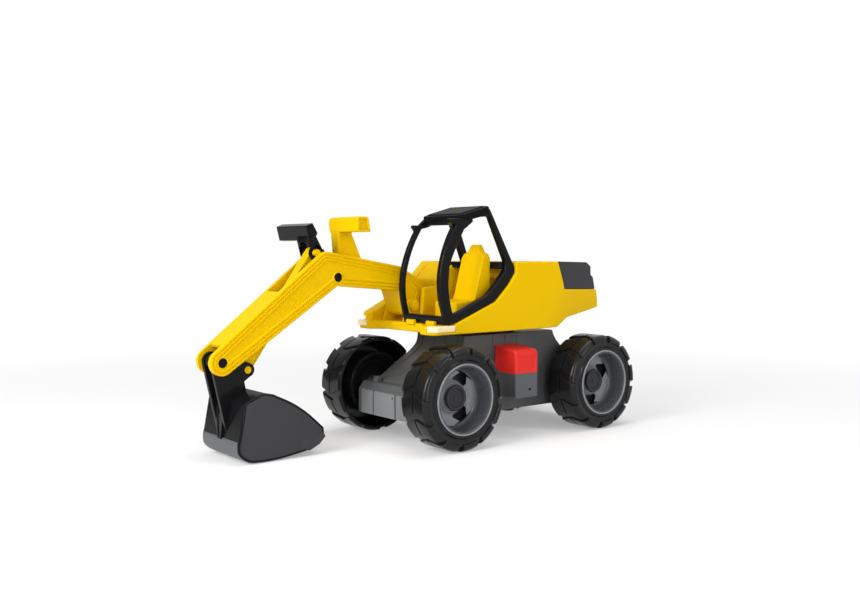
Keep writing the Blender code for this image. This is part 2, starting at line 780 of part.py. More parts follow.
def pedestal_line():
    """The end and slope of the pedestal, seen from the side."""
    foot_top = BLOCK_TOP + 3 * MM
    foot = PEDESTAL_HALF_FOOT
    return [(foot, CHASSIS_BOTTOM), (foot, foot_top), (PEDESTAL_HALF_TOP, PEDESTAL_TOP)]


def screw_places():
    """Plan points of the floor screws."""
    across = BLOCK_HALF_WIDTH - SCREW_INSET_X
    along = BLOCK_NOSE - SCREW_INSET_Y
    return [(x * across, y * along) for x in (1, -1) for y in (1, -1)]


def build_chassis():
    """The hollow undercarriage moulding, its floor plate and the screws that hold the floor."""
    low = CHASSIS_BOTTOM - CUT_OVER
    outer = mirrored_line(pedestal_line())
    inner = offset(outer, CHASSIS_WALL)
    inner[0], inner[-1] = (inner[0][0], low), (inner[-1][0], low)
    half = PEDESTAL_HALF_WIDTH
    chassis = Piece("chassis_body", side_solid(outer, -half, half), ROOT, "dark grey plastic")
    hollows = [side_solid(inner, -half + CHASSIS_WALL, half - CHASSIS_WALL)]
    room = BLOCK_HALF_WIDTH - CHASSIS_WALL
    for sign in (1, -1):
        block = block_line() + [(BLOCK_BACK, BLOCK_TOP), (BLOCK_BACK, CHASSIS_BOTTOM)]
        hollow = offset(block, CHASSIS_WALL)
        hollow[0], hollow[-1] = (hollow[0][0], low), (hollow[-1][0], low)
        block, hollow = ([(sign * y, z) for y, z in line] for line in (block, hollow))
        chassis.join(side_solid(block, -BLOCK_HALF_WIDTH, BLOCK_HALF_WIDTH))
        hollows.append(side_solid(hollow, -room, room))
    chassis.cut(*hollows)
    floor_low = CHASSIS_BOTTOM + FLOOR_THICKNESS
    floor_top = floor_low + FLOOR_THICKNESS
    for place in screw_places():
        chassis.join(post(SCREW_BOSS_RADIUS, place, floor_top + GAP, BLOCK_TOP - CHASSIS_WALL / 2, 16))
        chassis.cut(post(SCREW_RADIUS + GAP, place, floor_low, floor_low + SCREW_LENGTH + 2 * MM, 12))
    for sign in (1, -1):
        axle = (sign * AXLE_Y, WHEEL_RADIUS)
        for out in (1, -1):
            start = out * (BLOCK_HALF_WIDTH - CHASSIS_WALL / 2)
            end = out * (BLOCK_HALF_WIDTH + AXLE_BOSS_HEIGHT)
            chassis.join(cross_bar(AXLE_BOSS_RADIUS, start, end, axle))
        chassis.cut(cross_bar(AXLE_RADIUS + GAP, -WHEEL_CENTRE, WHEEL_CENTRE, axle))
    chassis.cut(post(SPIGOT_RADIUS + RUNNING, (0, 0), PEDESTAL_TOP - CUT_OVER, PEDESTAL_TOP + CUT_OVER, 32))
    for side in (1, -1):
        for place in peg_places():
            ends = (side * (half - CUT_OVER), side * (half + CUT_OVER))
            chassis.cut(cross_bar(PEG_RADIUS + GAP, *ends, place, 16))
    build_floor(floor_low, floor_top)


def build_floor(low, top):
    """The floor plate, which closes the undercarriage from below, and its screws."""
    wide = BLOCK_HALF_WIDTH - CHASSIS_WALL - GAP
    narrow = PEDESTAL_HALF_WIDTH - CHASSIS_WALL - GAP
    end = BLOCK_NOSE - CHASSIS_WALL - GAP
    waist = BLOCK_BACK + CHASSIS_WALL + GAP
    quarter = [(wide, end), (wide, waist + CHASSIS_WALL), (narrow, waist)]
    right = quarter + [(x, -y) for x, y in reversed(quarter)]
    outline = right + [(-x, y) for x, y in reversed(right)]
    floor = Piece("chassis_floor", top_solid(outline, low, top), ROOT, "dark grey plastic")
    for count, place in enumerate(screw_places(), 1):
        floor.cut(post(SCREW_RADIUS + GAP, place, low - CUT_OVER, top + CUT_OVER, 12))
        head = low - GAP
        profile = [(head - SCREW_HEAD_HEIGHT, 0), (head - SCREW_HEAD_HEIGHT, SCREW_HEAD_RADIUS - 1 * MM)]
        profile += [(head, SCREW_HEAD_RADIUS), (head, SCREW_RADIUS)]
        profile += [(low + SCREW_LENGTH, SCREW_RADIUS), (low + SCREW_LENGTH, 0)]
        Piece(f"chassis_screw_{count}", screw_mesh(profile, place), ROOT, "steel")


def screw_mesh(profile, place):
    """An upright screw turned from a profile of (height, radius) points."""
    mesh = turned(profile, upright=True, closed=False, steps=SMALL_STEPS)
    mesh.transform(Matrix.Translation((*place, 0)))
    return mesh


def peg_places():
    """Side view points of the pegs that locate a side bracket."""
    return [(sign * PEG_SPACING / 2, PEG_HEIGHT) for sign in (1, -1)]


def build_side_boxes():
    """On each side a grey bracket, pegged to the pedestal, and the red box that it carries."""
    wall = SIDE_BOX_WALL
    inner = PEDESTAL_HALF_WIDTH + GAP
    length = (-SIDE_BOX_HALF_LENGTH, SIDE_BOX_HALF_LENGTH)
    room = (length[0] + wall, length[1] - wall)
    top = SIDE_BOX_SEAM - GAP
    for name, side in (("left", 1), ("right", -1)):
        reach = sorted((side * inner, side * SIDE_BOX_REACH))
        hollow = (reach[0] + wall, reach[1] - wall)
        block = box(reach, length, (SIDE_BOX_BOTTOM, top))
        bracket = Piece(f"side_bracket_{name}", block, ROOT, "dark grey plastic")
        bracket.cut(box(hollow, room, (SIDE_BOX_BOTTOM + wall, top + CUT_OVER)))
        for place in peg_places():
            ends = (side * (inner + wall / 2), side * (PEDESTAL_HALF_WIDTH - CHASSIS_WALL))
            bracket.join(cross_bar(PEG_RADIUS, *ends, place, 16))
        face = side * SIDE_BOX_REACH
        bracket.cut(cross_bar(VENT_RADIUS, face - wall * 2, face + wall * 2, (VENT_Y, VENT_Z), 12))
        crown = [(inner, SIDE_BOX_SEAM), (SIDE_BOX_REACH, SIDE_BOX_SEAM)]
        crown += [(SIDE_BOX_REACH, SIDE_BOX_TOP - SIDE_BOX_CHAMFER)]
        crown += [(SIDE_BOX_REACH - SIDE_BOX_CHAMFER, SIDE_BOX_TOP)]
        crown += [(inner, SIDE_BOX_TOP + SIDE_BOX_CROWN)]
        thick = TOOLBOX_WALL
        cavity = offset(crown, thick, closed=True)
        cavity[0] = (cavity[0][0], SIDE_BOX_SEAM - CUT_OVER)
        cavity[1] = (cavity[1][0], SIDE_BOX_SEAM - CUT_OVER)
        crown, cavity = ([(side * x, z) for x, z in line] for line in (crown, cavity))
        toolbox = Piece(f"toolbox_{name}", front_solid(crown, *length), ROOT, "red plastic")
        toolbox.cut(front_solid(cavity, length[0] + thick, length[1] - thick))
        toolbox.join(toolbox_rim(hollow, room))


def toolbox_rim(hollow, room):
    """The rim under a toolbox that plugs into its bracket."""
    wall = SIDE_BOX_WALL
    x_low, x_high = hollow[0] + GAP, hollow[1] - GAP
    y_low, y_high = room[0] + GAP, room[1] - GAP
    around = [(x_low, y_low), (x_high, y_low), (x_high, y_high), (x_low, y_high)]
    inside = offset(around, wall, closed=True)
    rim = top_solid(around, SIDE_BOX_SEAM - SIDE_BOX_RIM, SIDE_BOX_SEAM + wall, inside)
    return rim


def taper_meshes(inset=0.0):
    """The two wedges that narrow the tail in plan."""
    past = TAIL_END + 4 * CUT_OVER
    slope = (DECK_HALF_WIDTH - TAIL_HALF_WIDTH) / (TAIL_END - TAPER_START)
    far = DECK_HALF_WIDTH + 4 * CUT_OVER
    edge = DECK_HALF_WIDTH - inset
    start = TAPER_START - CUT_OVER
    wedge = [(edge + CUT_OVER * slope, start), (far, start), (far, past)]
    wedge += [(edge - slope * (past - TAPER_START), past)]
    for side in (1, -1):
        yield top_solid([(side * x, y) for x, y in wedge], DECK_BOTTOM - CUT_OVER, HOUSE_TOP + 4 * CUT_OVER)


def lamp_outline(side, clear=0.0):
    """The plan of a front lamp, which wraps round a corner of the deck."""
    edge = DECK_HALF_WIDTH
    inner = edge - LAMP_DEPTH - clear
    back = DECK_FRONT + LAMP_DEPTH + clear
    tail = DECK_FRONT + LAMP_FLANK + clear
    foot = edge - LAMP_FRONT - clear
    bend = CORNER_CHAMFER / 2
    outside = [(edge, tail), (inner, tail), (inner, back + bend), (inner - bend, back), (foot, back)]
    outside += [(foot, DECK_FRONT), (edge - CORNER_CHAMFER, DECK_FRONT), (edge, DECK_FRONT + CORNER_CHAMFER)]
    if clear:
        outside[0] = (edge + CUT_OVER, tail)
        outside[5:] = [(foot, DECK_FRONT - CUT_OVER), (edge + CUT_OVER, DECK_FRONT - CUT_OVER)]
    return [(side * x, y) for x, y in outside]


def deck_outline(inset):
    """The plan of the deck, drawn in from its edge."""
    edge = DECK_HALF_WIDTH - inset
    front = DECK_FRONT + inset
    bend = CORNER_CHAMFER
    horn = DECK_HALF_WIDTH - DECK_HORN
    half = [(edge, TAIL_END - inset), (edge, front + bend), (edge - bend, front), (horn, front)]
    half += [(horn - DECK_RECESS, front + DECK_RECESS)]
    return half + [(-x, y) for x, y in reversed(half)]


def build_deck():
    """The deck: a tray with a kicked-up tail, the slew spigot below and the boom's ears above."""
    kick = DECK_REAR + TAIL_KICK
    profile = [(DECK_FRONT - CUT_OVER, DECK_BOTTOM), (DECK_REAR, DECK_BOTTOM)]
    past = TAIL_END + CUT_OVER
    profile += [(kick, DECK_BOTTOM + TAIL_KICK_RISE), (past, tail_height(past))]
    profile += [(past, tail_height(past) + TAIL_SKIN), (tail_foot(), DECK_TOP)]
    profile += [(DECK_FRONT - CUT_OVER, DECK_TOP)]
    slab = top_solid(deck_outline(0), DECK_BOTTOM - CUT_OVER, TAIL_BOTTOM + 4 * CUT_OVER)
    deck = Piece("deck", slab, SLEW, "yellow plastic")
    deck.keep_common(side_solid(profile, -DECK_HALF_WIDTH - CUT_OVER, DECK_HALF_WIDTH + CUT_OVER))
    deck.cut(*taper_meshes())
    hollow = deck_outline(DECK_SKIN)
    hollow[0] = (hollow[0][0], DECK_REAR - DECK_SKIN)
    hollow[-1] = (hollow[-1][0], DECK_REAR - DECK_SKIN)
    deck.cut(top_solid(hollow, DECK_BOTTOM - CUT_OVER, DECK_TOP - DECK_SKIN))
    skin = DECK_TOP - DECK_SKIN / 2
    pad = [(DECK_BOTTOM, SLEW_RING_OUTER + 2 * MM), (skin, SLEW_RING_OUTER + 2 * MM)]
    pad += [(skin, SLEW_RING_INNER - 2 * MM), (DECK_BOTTOM, SLEW_RING_INNER - 2 * MM)]
    deck.join(turned(pad, upright=True))
    spigot_end = PEDESTAL_TOP - CHASSIS_WALL - RUNNING
    deck.join(post(SPIGOT_RADIUS, (0, 0), spigot_end, skin, 32))
    bore_end = spigot_end + SLEW_SCREW_LENGTH
    deck.cut(post(SLEW_SCREW_RADIUS + GAP, (0, 0), spigot_end - CUT_OVER, bore_end, 16))
    for low, high in root_ear_spans():
        foot = ROOT_EAR_RADIUS * 1.6
        ear = arc(ROOT_PIN, ROOT_EAR_RADIUS, 0, 180, 10)
        ear += [(ROOT_PIN[0] - foot, skin), (ROOT_PIN[0] + foot, skin)]
        deck.join(side_solid(ear, low, high))
    deck.cut(cross_bar(PIN_RADIUS + GAP, BOOM_RIGHT - 3 * CUT_OVER, BOOM_LEFT + 3 * CUT_OVER, ROOT_PIN))
    for name, side in (("left", 1), ("right", -1)):
        low = DECK_BOTTOM + LAMP_LIP
        deck.cut(top_solid(lamp_outline(side, GAP), low - GAP, DECK_TOP + CUT_OVER))
        Piece(f"front_lamp_{name}", top_solid(lamp_outline(side), low, DECK_TOP), SLEW, "lamp plastic")


def tail_height(y):
    """Height of the tail's underside behind the kick."""
    kick = DECK_REAR + TAIL_KICK
    kick_height = DECK_BOTTOM + TAIL_KICK_RISE
    return kick_height + (TAIL_BOTTOM - kick_height) * (y - kick) / (TAIL_END - kick)


def tail_foot():
    """Where the top of the deck meets the tail's upper side."""
    kick = DECK_REAR + TAIL_KICK
    rise = (TAIL_BOTTOM - DECK_BOTTOM - TAIL_KICK_RISE) / (TAIL_END - kick)
    return kick + (DECK_HEIGHT - TAIL_KICK_RISE - TAIL_SKIN) / rise


def root_ear_spans():
    """The two ears that hold the boom's root pin, as X limits."""
    left = BOOM_LEFT + SIDE_PLAY
    right = BOOM_RIGHT - SIDE_PLAY
    return (left, left + ROOT_EAR_THICKNESS), (right - ROOT_EAR_THICKNESS, right)


def build_slew():
    """The slew ring on the pedestal, and the retainer and screw under its roof."""
    low, high = PEDESTAL_TOP + GAP, DECK_BOTTOM - GAP
    ring = [(low, SLEW_RING_OUTER), (high, SLEW_RING_OUTER)]
    ring += [(high, SLEW_RING_INNER), (low, SLEW_RING_INNER)]
    Piece("slew_ring", turned(ring, upright=True), ROOT, "black gloss plastic")
    spigot_end = PEDESTAL_TOP - CHASSIS_WALL - RUNNING
    top = spigot_end - GAP
    bottom = top - RETAINER_THICKNESS
    bore = SLEW_SCREW_RADIUS + GAP
    disc = [(bottom, RETAINER_RADIUS), (top, RETAINER_RADIUS), (top, bore), (bottom, bore)]
    Piece("slew_retainer", turned(disc, upright=True), SLEW, "dark grey plastic")
    head = bottom - GAP
    shank_end = spigot_end + SLEW_SCREW_LENGTH - RUNNING
    foot = head - SLEW_SCREW_HEAD_HEIGHT
    profile = [(foot, 0), (foot, SLEW_SCREW_HEAD_RADIUS - 1 * MM)]
    profile += [(head, SLEW_SCREW_HEAD_RADIUS), (head, SLEW_SCREW_RADIUS)]
    profile += [(shank_end, SLEW_SCREW_RADIUS), (shank_end, 0)]
    Piece("slew_screw", screw_mesh(profile, (0, 0)), SLEW, "steel")


def sill_line():
    """The sill on which the cab stands, from its front foot to its rear corner."""
    heel = CAB_FRONT_FOOT + CAB_FOOT_LENGTH
    return [(CAB_FRONT_FOOT, CAB_BASE), (heel, CAB_BASE), CAB_SILL_MID, CAB_SILL_REAR, CAB_REAR_CORNER]


def house_tail():
    """The rear of the house, seen from the side: down the engine bay and back under the tail."""
    seam_end = TAIL_END - 4 * MM
    above = TAIL_SKIN + GAP
    line = [(ENGINE_FRONT, HOUSE_TOP), (ENGINE_FRONT + ENGINE_SLANT, ENGINE_SEAM)]
    line += [(seam_end, ENGINE_SEAM - 3 * MM), (TAIL_END, tail_height(TAIL_END) + above + 7 * MM)]
    line += [(TAIL_END, tail_height(TAIL_END) + above)]
    return line + [(tail_foot() + GAP, HOUSE_BASE)]


def build_house():
    """The hollow upper body: the right hood, the boom bay, the flank under the cab and the tail."""
    edge = DECK_HALF_WIDTH - 1 * MM
    tail = house_tail()
    hood = [(HOOD_NOSE, HOUSE_BASE), (HOOD_NOSE, HOOD_NOSE_TOP), HOOD_BEND, HOOD_BROW]
    hood += [(HOOD_CREST, HOUSE_TOP)]
    house = Piece("house_shell", side_solid(hood + tail, -edge, HOOD_INNER), SLEW, "yellow plastic")
    bay = [(BAY_BACK, HOUSE_BASE), (BAY_BACK, HOOD_BROW[1]), (HOOD_CREST, HOUSE_TOP)]
    overlap = 2 * MM
    house.join(side_solid(bay + tail, HOOD_INNER - overlap, CAB_RIGHT + overlap))
    sill = [(y, z - GAP) for y, z in sill_line()[2:]]
    heel = CAB_FRONT_FOOT + CAB_FOOT_LENGTH + 2 * GAP
    flank = [(heel, HOUSE_BASE)] + sill + [(HOUSE_FRONT, HOUSE_TOP)]
    house.join(side_solid(flank + tail, CAB_RIGHT, edge))
    cockpit = (CAB_RIGHT + COCKPIT_WALL, edge - FLANK_WALL)
    above = HOUSE_TOP + CUT_OVER
    house.cut(box(cockpit, (COCKPIT_FRONT, COCKPIT_BACK), (HOUSE_BASE + COCKPIT_FLOOR, above)))
    doorway = (CAB_RIGHT - CUT_OVER, cockpit[0] + CUT_OVER)
    house.cut(box(doorway, (CAB_FRONT_FOOT - CUT_OVER, BAY_BACK), (CAB_SILL_MID[1], above)))
    house.cut(*taper_meshes(1 * MM))
    inner = edge - HOUSE_WALL
    front = HOUSE_FRONT + HOUSE_WALL
    bottom = HOUSE_BASE - CUT_OVER
    roof = HOUSE_TOP - HOUSE_WALL
    slant = ENGINE_FRONT - HOUSE_WALL
    seam = ENGINE_SEAM - HOUSE_WALL
    hollow = [(front, bottom), (front, roof), (slant, roof), (slant + ENGINE_SLANT, seam)]
    hollow += [(TAIL_END - 3 * HOUSE_WALL, seam - 3 * MM), (TAIL_END - 3 * HOUSE_WALL, bottom)]
    narrow = TAIL_HALF_WIDTH - HOUSE_WALL - 1 * MM
    house.cut(side_solid(hollow, -narrow, narrow))
    taper = TAPER_START - HOUSE_WALL
    wide = [(front, bottom), (front, roof), (taper, roof), (taper, bottom)]
    house.cut(side_solid(wide, -inner, inner))


def build_engine_cover():
    """The dark cover over the tail: a stepped shell on the house."""
    tail = house_tail()
    low_front, low_rear = tail[1], tail[2]
    run = [(ENGINE_FRONT + GAP * 2, HOUSE_TOP), (low_front[0] + GAP * 2, low_front[1] + GAP)]
    run += [(low_rear[0] - 2 * MM, low_rear[1] + GAP)]
    seam_end = low_rear[0] - 2 * MM
    back = [(seam_end - 8 * MM, 258 * MM), (seam_end - 15 * MM, 262 * MM), (seam_end - 17 * MM, 277 * MM)]
    outline = run + back + [(seam_end - 30 * MM, HOUSE_TOP - 2 * MM)]
    half = DECK_HALF_WIDTH - ENGINE_INSET
    cover = Piece("engine_cover", side_solid(outline, -half, half), SLEW, "dark grey plastic")
    cover.cut(*taper_meshes(ENGINE_INSET))
    cavity = offset(outline, ENGINE_WALL, closed=True)
    cavity[1] = (cavity[1][0] + 3 * MM, ENGINE_SEAM - CUT_OVER)
    cavity[2] = (cavity[2][0] - 3 * MM, ENGINE_SEAM - CUT_OVER)
    room = TAIL_HALF_WIDTH - ENGINE_INSET - ENGINE_WALL
    cover.cut(side_solid(cavity, -room, room))


def leaned(mesh, lean):
    """Lean a side of the cab towards the middle as it rises."""
    slope = Matrix.Identity(4)
    slope[0][2] = lean
    mesh.transform(slope @ Matrix.Translation((0, 0, -CAB_BASE)))
    mesh.transform(Matrix.Translation((0, 0, CAB_BASE)))
    return mesh


def cab_front_line():
    """The bulging front edge of the cab, from its foot to the roof."""
    return smooth((CAB_ROOF_FRONT, CAB_SHOULDER, CAB_BULGE, (CAB_FRONT_FOOT, CAB_BASE)))


def cab_left_mesh():
    """The left side of the cab: a closed frame round a window."""
    sill = sill_line()
    outline = [(y, z, 0) for y, z in cab_front_line() + sill[1:-1]]
    outline += [(*CAB_REAR_CORNER, CAB_BEND), (*CAB_ROOF_REAR, CAB_BEND)]
    front = smooth([(y + CAB_PILLAR_LEFT, z) for y, z in (CAB_SHOULDER, CAB_BULGE)])
    window = [(CAB_ROOF_FRONT[0] + CAB_HEADER, CAB_ROOF_FRONT[1] - CAB_HEADER)] + front
    window += [(CAB_FRONT_FOOT + CAB_HEADER, CAB_BASE + CAB_SILL + 5 * MM)]
    window += [(y, z + CAB_SILL) for y, z in (CAB_SILL_MID, CAB_SILL_REAR)]
    window += [(CAB_REAR_CORNER[0] - 2 * CAB_REAR_PILLAR, CAB_REAR_CORNER[1])]
    window += [(CAB_ROOF_REAR[0] - 5 * MM, CAB_ROOF_REAR[1] - CAB_HEADER)]
    side = side_solid(rounded(outline, 3), CAB_LEFT - CAB_THICKNESS, CAB_LEFT, window)
    return leaned(side, -CAB_LEAN_LEFT)


def cab_right_mesh():
    """The right side of the cab: a thin front pillar, the roof edge and a rear pillar."""
    front = cab_front_line()
    inner = [(CAB_FRONT_FOOT, CAB_BASE), CAB_BULGE, CAB_SHOULDER]
    inner = smooth([(y + CAB_PILLAR_RIGHT, z) for y, z in inner])
    rail_low = CAB_RAIL_TOP - CAB_BAR
    rear_foot = CAB_REAR_CORNER[0] - 2 * CAB_BAR
    outline = front + inner + [(CAB_ROOF_FRONT[0] + CAB_HEADER / 2, CAB_ROOF_FRONT[1] - CAB_HEADER)]
    outline += [(CAB_ROOF_REAR[0] - CAB_REAR_PILLAR, CAB_ROOF_REAR[1] - CAB_HEADER)]
    outline += [(rear_foot - CAB_REAR_PILLAR, rail_low), (rear_foot + CAB_REAR_PILLAR, rail_low)]
    outline += [CAB_ROOF_REAR]
    return leaned(side_solid(outline, CAB_RIGHT, CAB_RIGHT + CAB_RIGHT_THICKNESS), CAB_LEAN_RIGHT)


def lean_at(z):
    """The inner faces of the two cab sides at a height, right then left."""
    rise = z - CAB_BASE
    right = CAB_RIGHT + CAB_RIGHT_THICKNESS + CAB_LEAN_RIGHT * rise
    return right, CAB_LEFT - CAB_THICKNESS - CAB_LEAN_LEFT * rise


def build_cab():
    """The black cab frame of two unlike sides and four cross bars, its roof, and the seat."""
    frame = Piece("cab_frame", cab_left_mesh(), SLEW, "black gloss plastic")
    frame.join(cab_right_mesh())
    sunk = CAB_RIGHT_THICKNESS / 2
    header = CAB_ROOF_FRONT[1] - CAB_HEADER
    rear_header = CAB_ROOF_REAR[1] - CAB_HEADER
    bars = [(CAB_FRONT_FOOT - 2 * MM, CAB_BASE + 1 * MM, CAB_BAR)]
    bars += [(CAB_ROOF_FRONT[0] + 1 * MM, header + 3 * MM, CAB_HEADER - 6 * MM)]
    bars += [(CAB_ROOF_REAR[0] - CAB_BAR - 1 * MM, rear_header, CAB_HEADER - 6 * MM)]
    bars += [(CAB_REAR_CORNER[0] - 2 * CAB_BAR - 3 * MM, CAB_RAIL_TOP - CAB_BAR + 1 * MM, CAB_BAR)]
    for y, low, height in bars:
        right, left = lean_at(low + height / 2)
        frame.join(box((right - sunk, left + sunk), (y, y + CAB_BAR), (low, low + height)))
    run = Run(CAB_ROOF_FRONT, CAB_ROOF_REAR, 1)
    right, left = lean_at(CAB_ROOF_REAR[1])
    right, left = right - CAB_RIGHT_THICKNESS - ROOF_OVERHANG, left + CAB_THICKNESS + ROOF_OVERHANG
    start, end = -ROOF_OVERHANG, run.length + ROOF_OVERHANG
    plate = [run.at(start, GAP), run.at(end, GAP)]
    plate += [run.at(end, ROOF_THICKNESS), run.at(start, ROOF_THICKNESS)]
    roof = Piece("cab_roof", side_solid(plate, right, left), SLEW, "black gloss plastic")
    start, end = start + ROOF_PANEL_INSET, end - ROOF_PANEL_INSET
    high = ROOF_THICKNESS + ROOF_PANEL
    panel = [run.at(start, ROOF_THICKNESS / 2), run.at(end, ROOF_THICKNESS / 2)]
    panel += [run.at(end - 3 * MM, high), run.at(start + 3 * MM, high)]
    roof.join(side_solid(panel, right + ROOF_PANEL_INSET, left - ROOF_PANEL_INSET))
    build_seat()


def build_seat():
    """The driver's seat: a cushion, a raked back and a narrow headrest in one moulding."""
    base = HOUSE_BASE + COCKPIT_FLOOR + GAP
    side = [(SEAT_CUSHION_FRONT, base), (SEAT_CUSHION_FRONT, SEAT_CUSHION_TOP)]
    side += [(SEAT_BACK_FOOT, SEAT_CUSHION_TOP + 3 * MM), (SEAT_HEAD_FRONT, SEAT_HEAD)]
    side += [(SEAT_HEAD_FRONT + 14 * MM, SEAT_HEAD), (SEAT_REAR - 4 * MM, SEAT_SHOULDER + 12 * MM)]
    side += [(SEAT_REAR, SEAT_SHOULDER), (SEAT_REAR, base)]
    half, head = SEAT_WIDTH / 2, SEAT_HEAD_WIDTH / 2
    face = [(half, base - CUT_OVER), (half, SEAT_SHOULDER)]
    face += [(head + 6 * MM, SEAT_HEAD - 5 * MM), (head, SEAT_HEAD + CUT_OVER)]
    face += [(-x, z) for x, z in reversed(face)]
    face = [(SEAT_CENTRE + x, z) for x, z in face]
    seat = Piece("seat", side_solid(side, SEAT_CENTRE - half, SEAT_CENTRE + half), SLEW, "yellow plastic")
    seat.keep_common(front_solid(face, SEAT_CUSHION_FRONT - CUT_OVER, SEAT_REAR + CUT_OVER))


ARM = Run(KNEE_PIN, BUCKET_PIN, -1)
NECK = Run(ROOT_PIN, KNEE_PIN, -1)


def from_root(point):
    """A point given from the root pin, along the neck away from the knee and above it."""
    return NECK.at(-point[0], point[1])


def knee_top():
    """The highest point of the boom, over its knee."""
    return ARM.at(0, KNEE_RISE)


def crown_line(y):
    """Height of the boom's top edge between the knee and the neck."""
    front, rear = knee_top(), from_root(CROWN_END)
    return front[1] + (rear[1] - front[1]) * (y - front[0]) / (rear[0] - front[0])


def boom_outline():
    """The goose-neck side of the boom, counterclockwise from its ear."""
    heading = math.degrees(math.atan2(ARM.up[1], ARM.up[0]))
    ear = arc(BUCKET_PIN, EAR_RADIUS, heading, heading + 180, 12)
    root = arc(ROOT_PIN, ROOT_RADIUS, -200, -15, 11)
    belly = [ARM.at(8 * MM, -KNEE_DROP), NECK.at(NECK.length + BELLY_FRONT[0] - 10 * MM, BELLY_FRONT[1])]
    belly += [from_root(BELLY_REAR)]
    neck = [from_root(NECK_REAR), from_root(NECK_TOP), from_root(CROWN_END)]
    return ear + belly + root + neck + [knee_top()]


def channel_outline():
    """The space between the boom's side walls: open above the lever and below the push rod."""
    slope = (KNEE_RISE - EAR_RADIUS) / ARM.length

    def under_web(along):
        """A point on the inside of the arm's top web."""
        return ARM.at(along, KNEE_RISE - slope * along - BOOM_WEB)

    far = 3 * EAR_RADIUS
    web_end = ARM.length - WEB_START
    line = [ARM.at(ARM.length + far, far), ARM.at(ARM.length + far, -far), ARM.at(UNDER_OPEN, -far)]
    line += [ARM.at(UNDER_OPEN, -KNEE_DROP + BOOM_WEB - 3 * MM), ARM.at(8 * MM, -KNEE_DROP + BOOM_WEB)]
    line += [NECK.at(NECK.length + BELLY_FRONT[0] - 10 * MM, BELLY_FRONT[1] + BOOM_WEB)]
    belly = BELLY_REAR[1] + BOOM_WEB
    line += [from_root((BELLY_REAR[0], belly)), from_root((-ROOT_BLOCK, belly))]
    line += [from_root((-ROOT_BLOCK, CROWN_END[1] - 2 * BOOM_WEB))]
    line += [from_root((CROWN_END[0], CROWN_END[1] - 1.2 * BOOM_WEB))]
    slot_rear = KNEE_PIN[0] + SLOT_REAR
    line += [(slot_rear, crown_line(slot_rear) - BOOM_WEB), (slot_rear, crown_line(slot_rear) + 2 * far)]
    line += [ARM.at(SLOT_FRONT, KNEE_RISE + far), under_web(SLOT_FRONT)]
    return line + [under_web(web_end), ARM.at(web_end, far)]


def build_boom():
    """The goose-neck boom with its two pins that stay with it, and the pin in the deck's ears."""
    boom = Piece("boom", side_solid(boom_outline(), BOOM_RIGHT, BOOM_LEFT), BOOM, "yellow plastic")
    boom.cut(side_solid(channel_outline(), BOOM_CENTRE - CHANNEL_HALF, BOOM_CENTRE + CHANNEL_HALF))
    over = 2 * CUT_OVER
    boom.cut(cross_bar(PIN_RADIUS + RUNNING, BOOM_RIGHT - over, BOOM_LEFT + over, ROOT_PIN))
    for name, place in (("lever_pin", KNEE_PIN), ("bucket_pin", BUCKET_PIN)):
        boom.cut(cross_bar(PIN_RADIUS + GAP, BOOM_RIGHT - over, BOOM_LEFT + over, place))
        boom.cut(cross_bar(PIN_HEAD_RADIUS + GAP, BOOM_LEFT - PIN_RECESS, BOOM_LEFT + over, place))
        boom.cut(cross_bar(PIN_HEAD_RADIUS + GAP, BOOM_RIGHT - over, BOOM_RIGHT + PIN_RECESS, place))
        pin = pin_mesh(BOOM_RIGHT + PIN_RECESS - GAP, BOOM_LEFT - PIN_RECESS + GAP, place)
        Piece(name, pin, BOOM, "black gloss plastic")
    boom.cut(tenon_mesh(GAP))
    (_, left), (right, _) = root_ear_spans()
    Piece("boom_pin", pin_mesh(right - GAP, left + GAP, ROOT_PIN), SLEW, "black gloss plastic")
    build_grip()


def pin_mesh(low, high, place):
    """A pivot pin with a head at each end; its shank runs between the limits."""
    thick = PIN_HEAD_THICKNESS
    profile = [(low - thick, 0), (low - thick, PIN_HEAD_RADIUS), (low, PIN_HEAD_RADIUS), (low, PIN_RADIUS)]
    profile += [(high, PIN_RADIUS), (high, PIN_HEAD_RADIUS)]
    profile += [(high + thick, PIN_HEAD_RADIUS), (high + thick, 0)]
    mesh = turned(profile, closed=False, steps=SMALL_STEPS + 6)
    mesh.transform(Matrix.Translation((0, *place)))
    return mesh


def grip_foot():
    """The front and rear of the grip's stem where it stands on the boom."""
    return KNEE_PIN[0] + GRIP_STEM_FRONT, KNEE_PIN[0] + GRIP_STEM_REAR


def tenon_mesh(clear):
    """The tenon under the grip, or with clearance the mortise for it."""
    front, rear = grip_foot()
    front, rear = front + GRIP_TENON_INSET - clear, rear - GRIP_TENON_INSET + clear
    deep = GRIP_TENON_DEPTH + clear
    outline = [(front, crown_line(front) - deep), (rear, crown_line(rear) - deep)]
    outline += [(rear, crown_line(rear) + 1 * MM), (front, crown_line(front) + 1 * MM)]
    half = GRIP_TENON_WIDTH / 2 + clear
    return side_solid(outline, BOOM_CENTRE - half, BOOM_CENTRE + half)


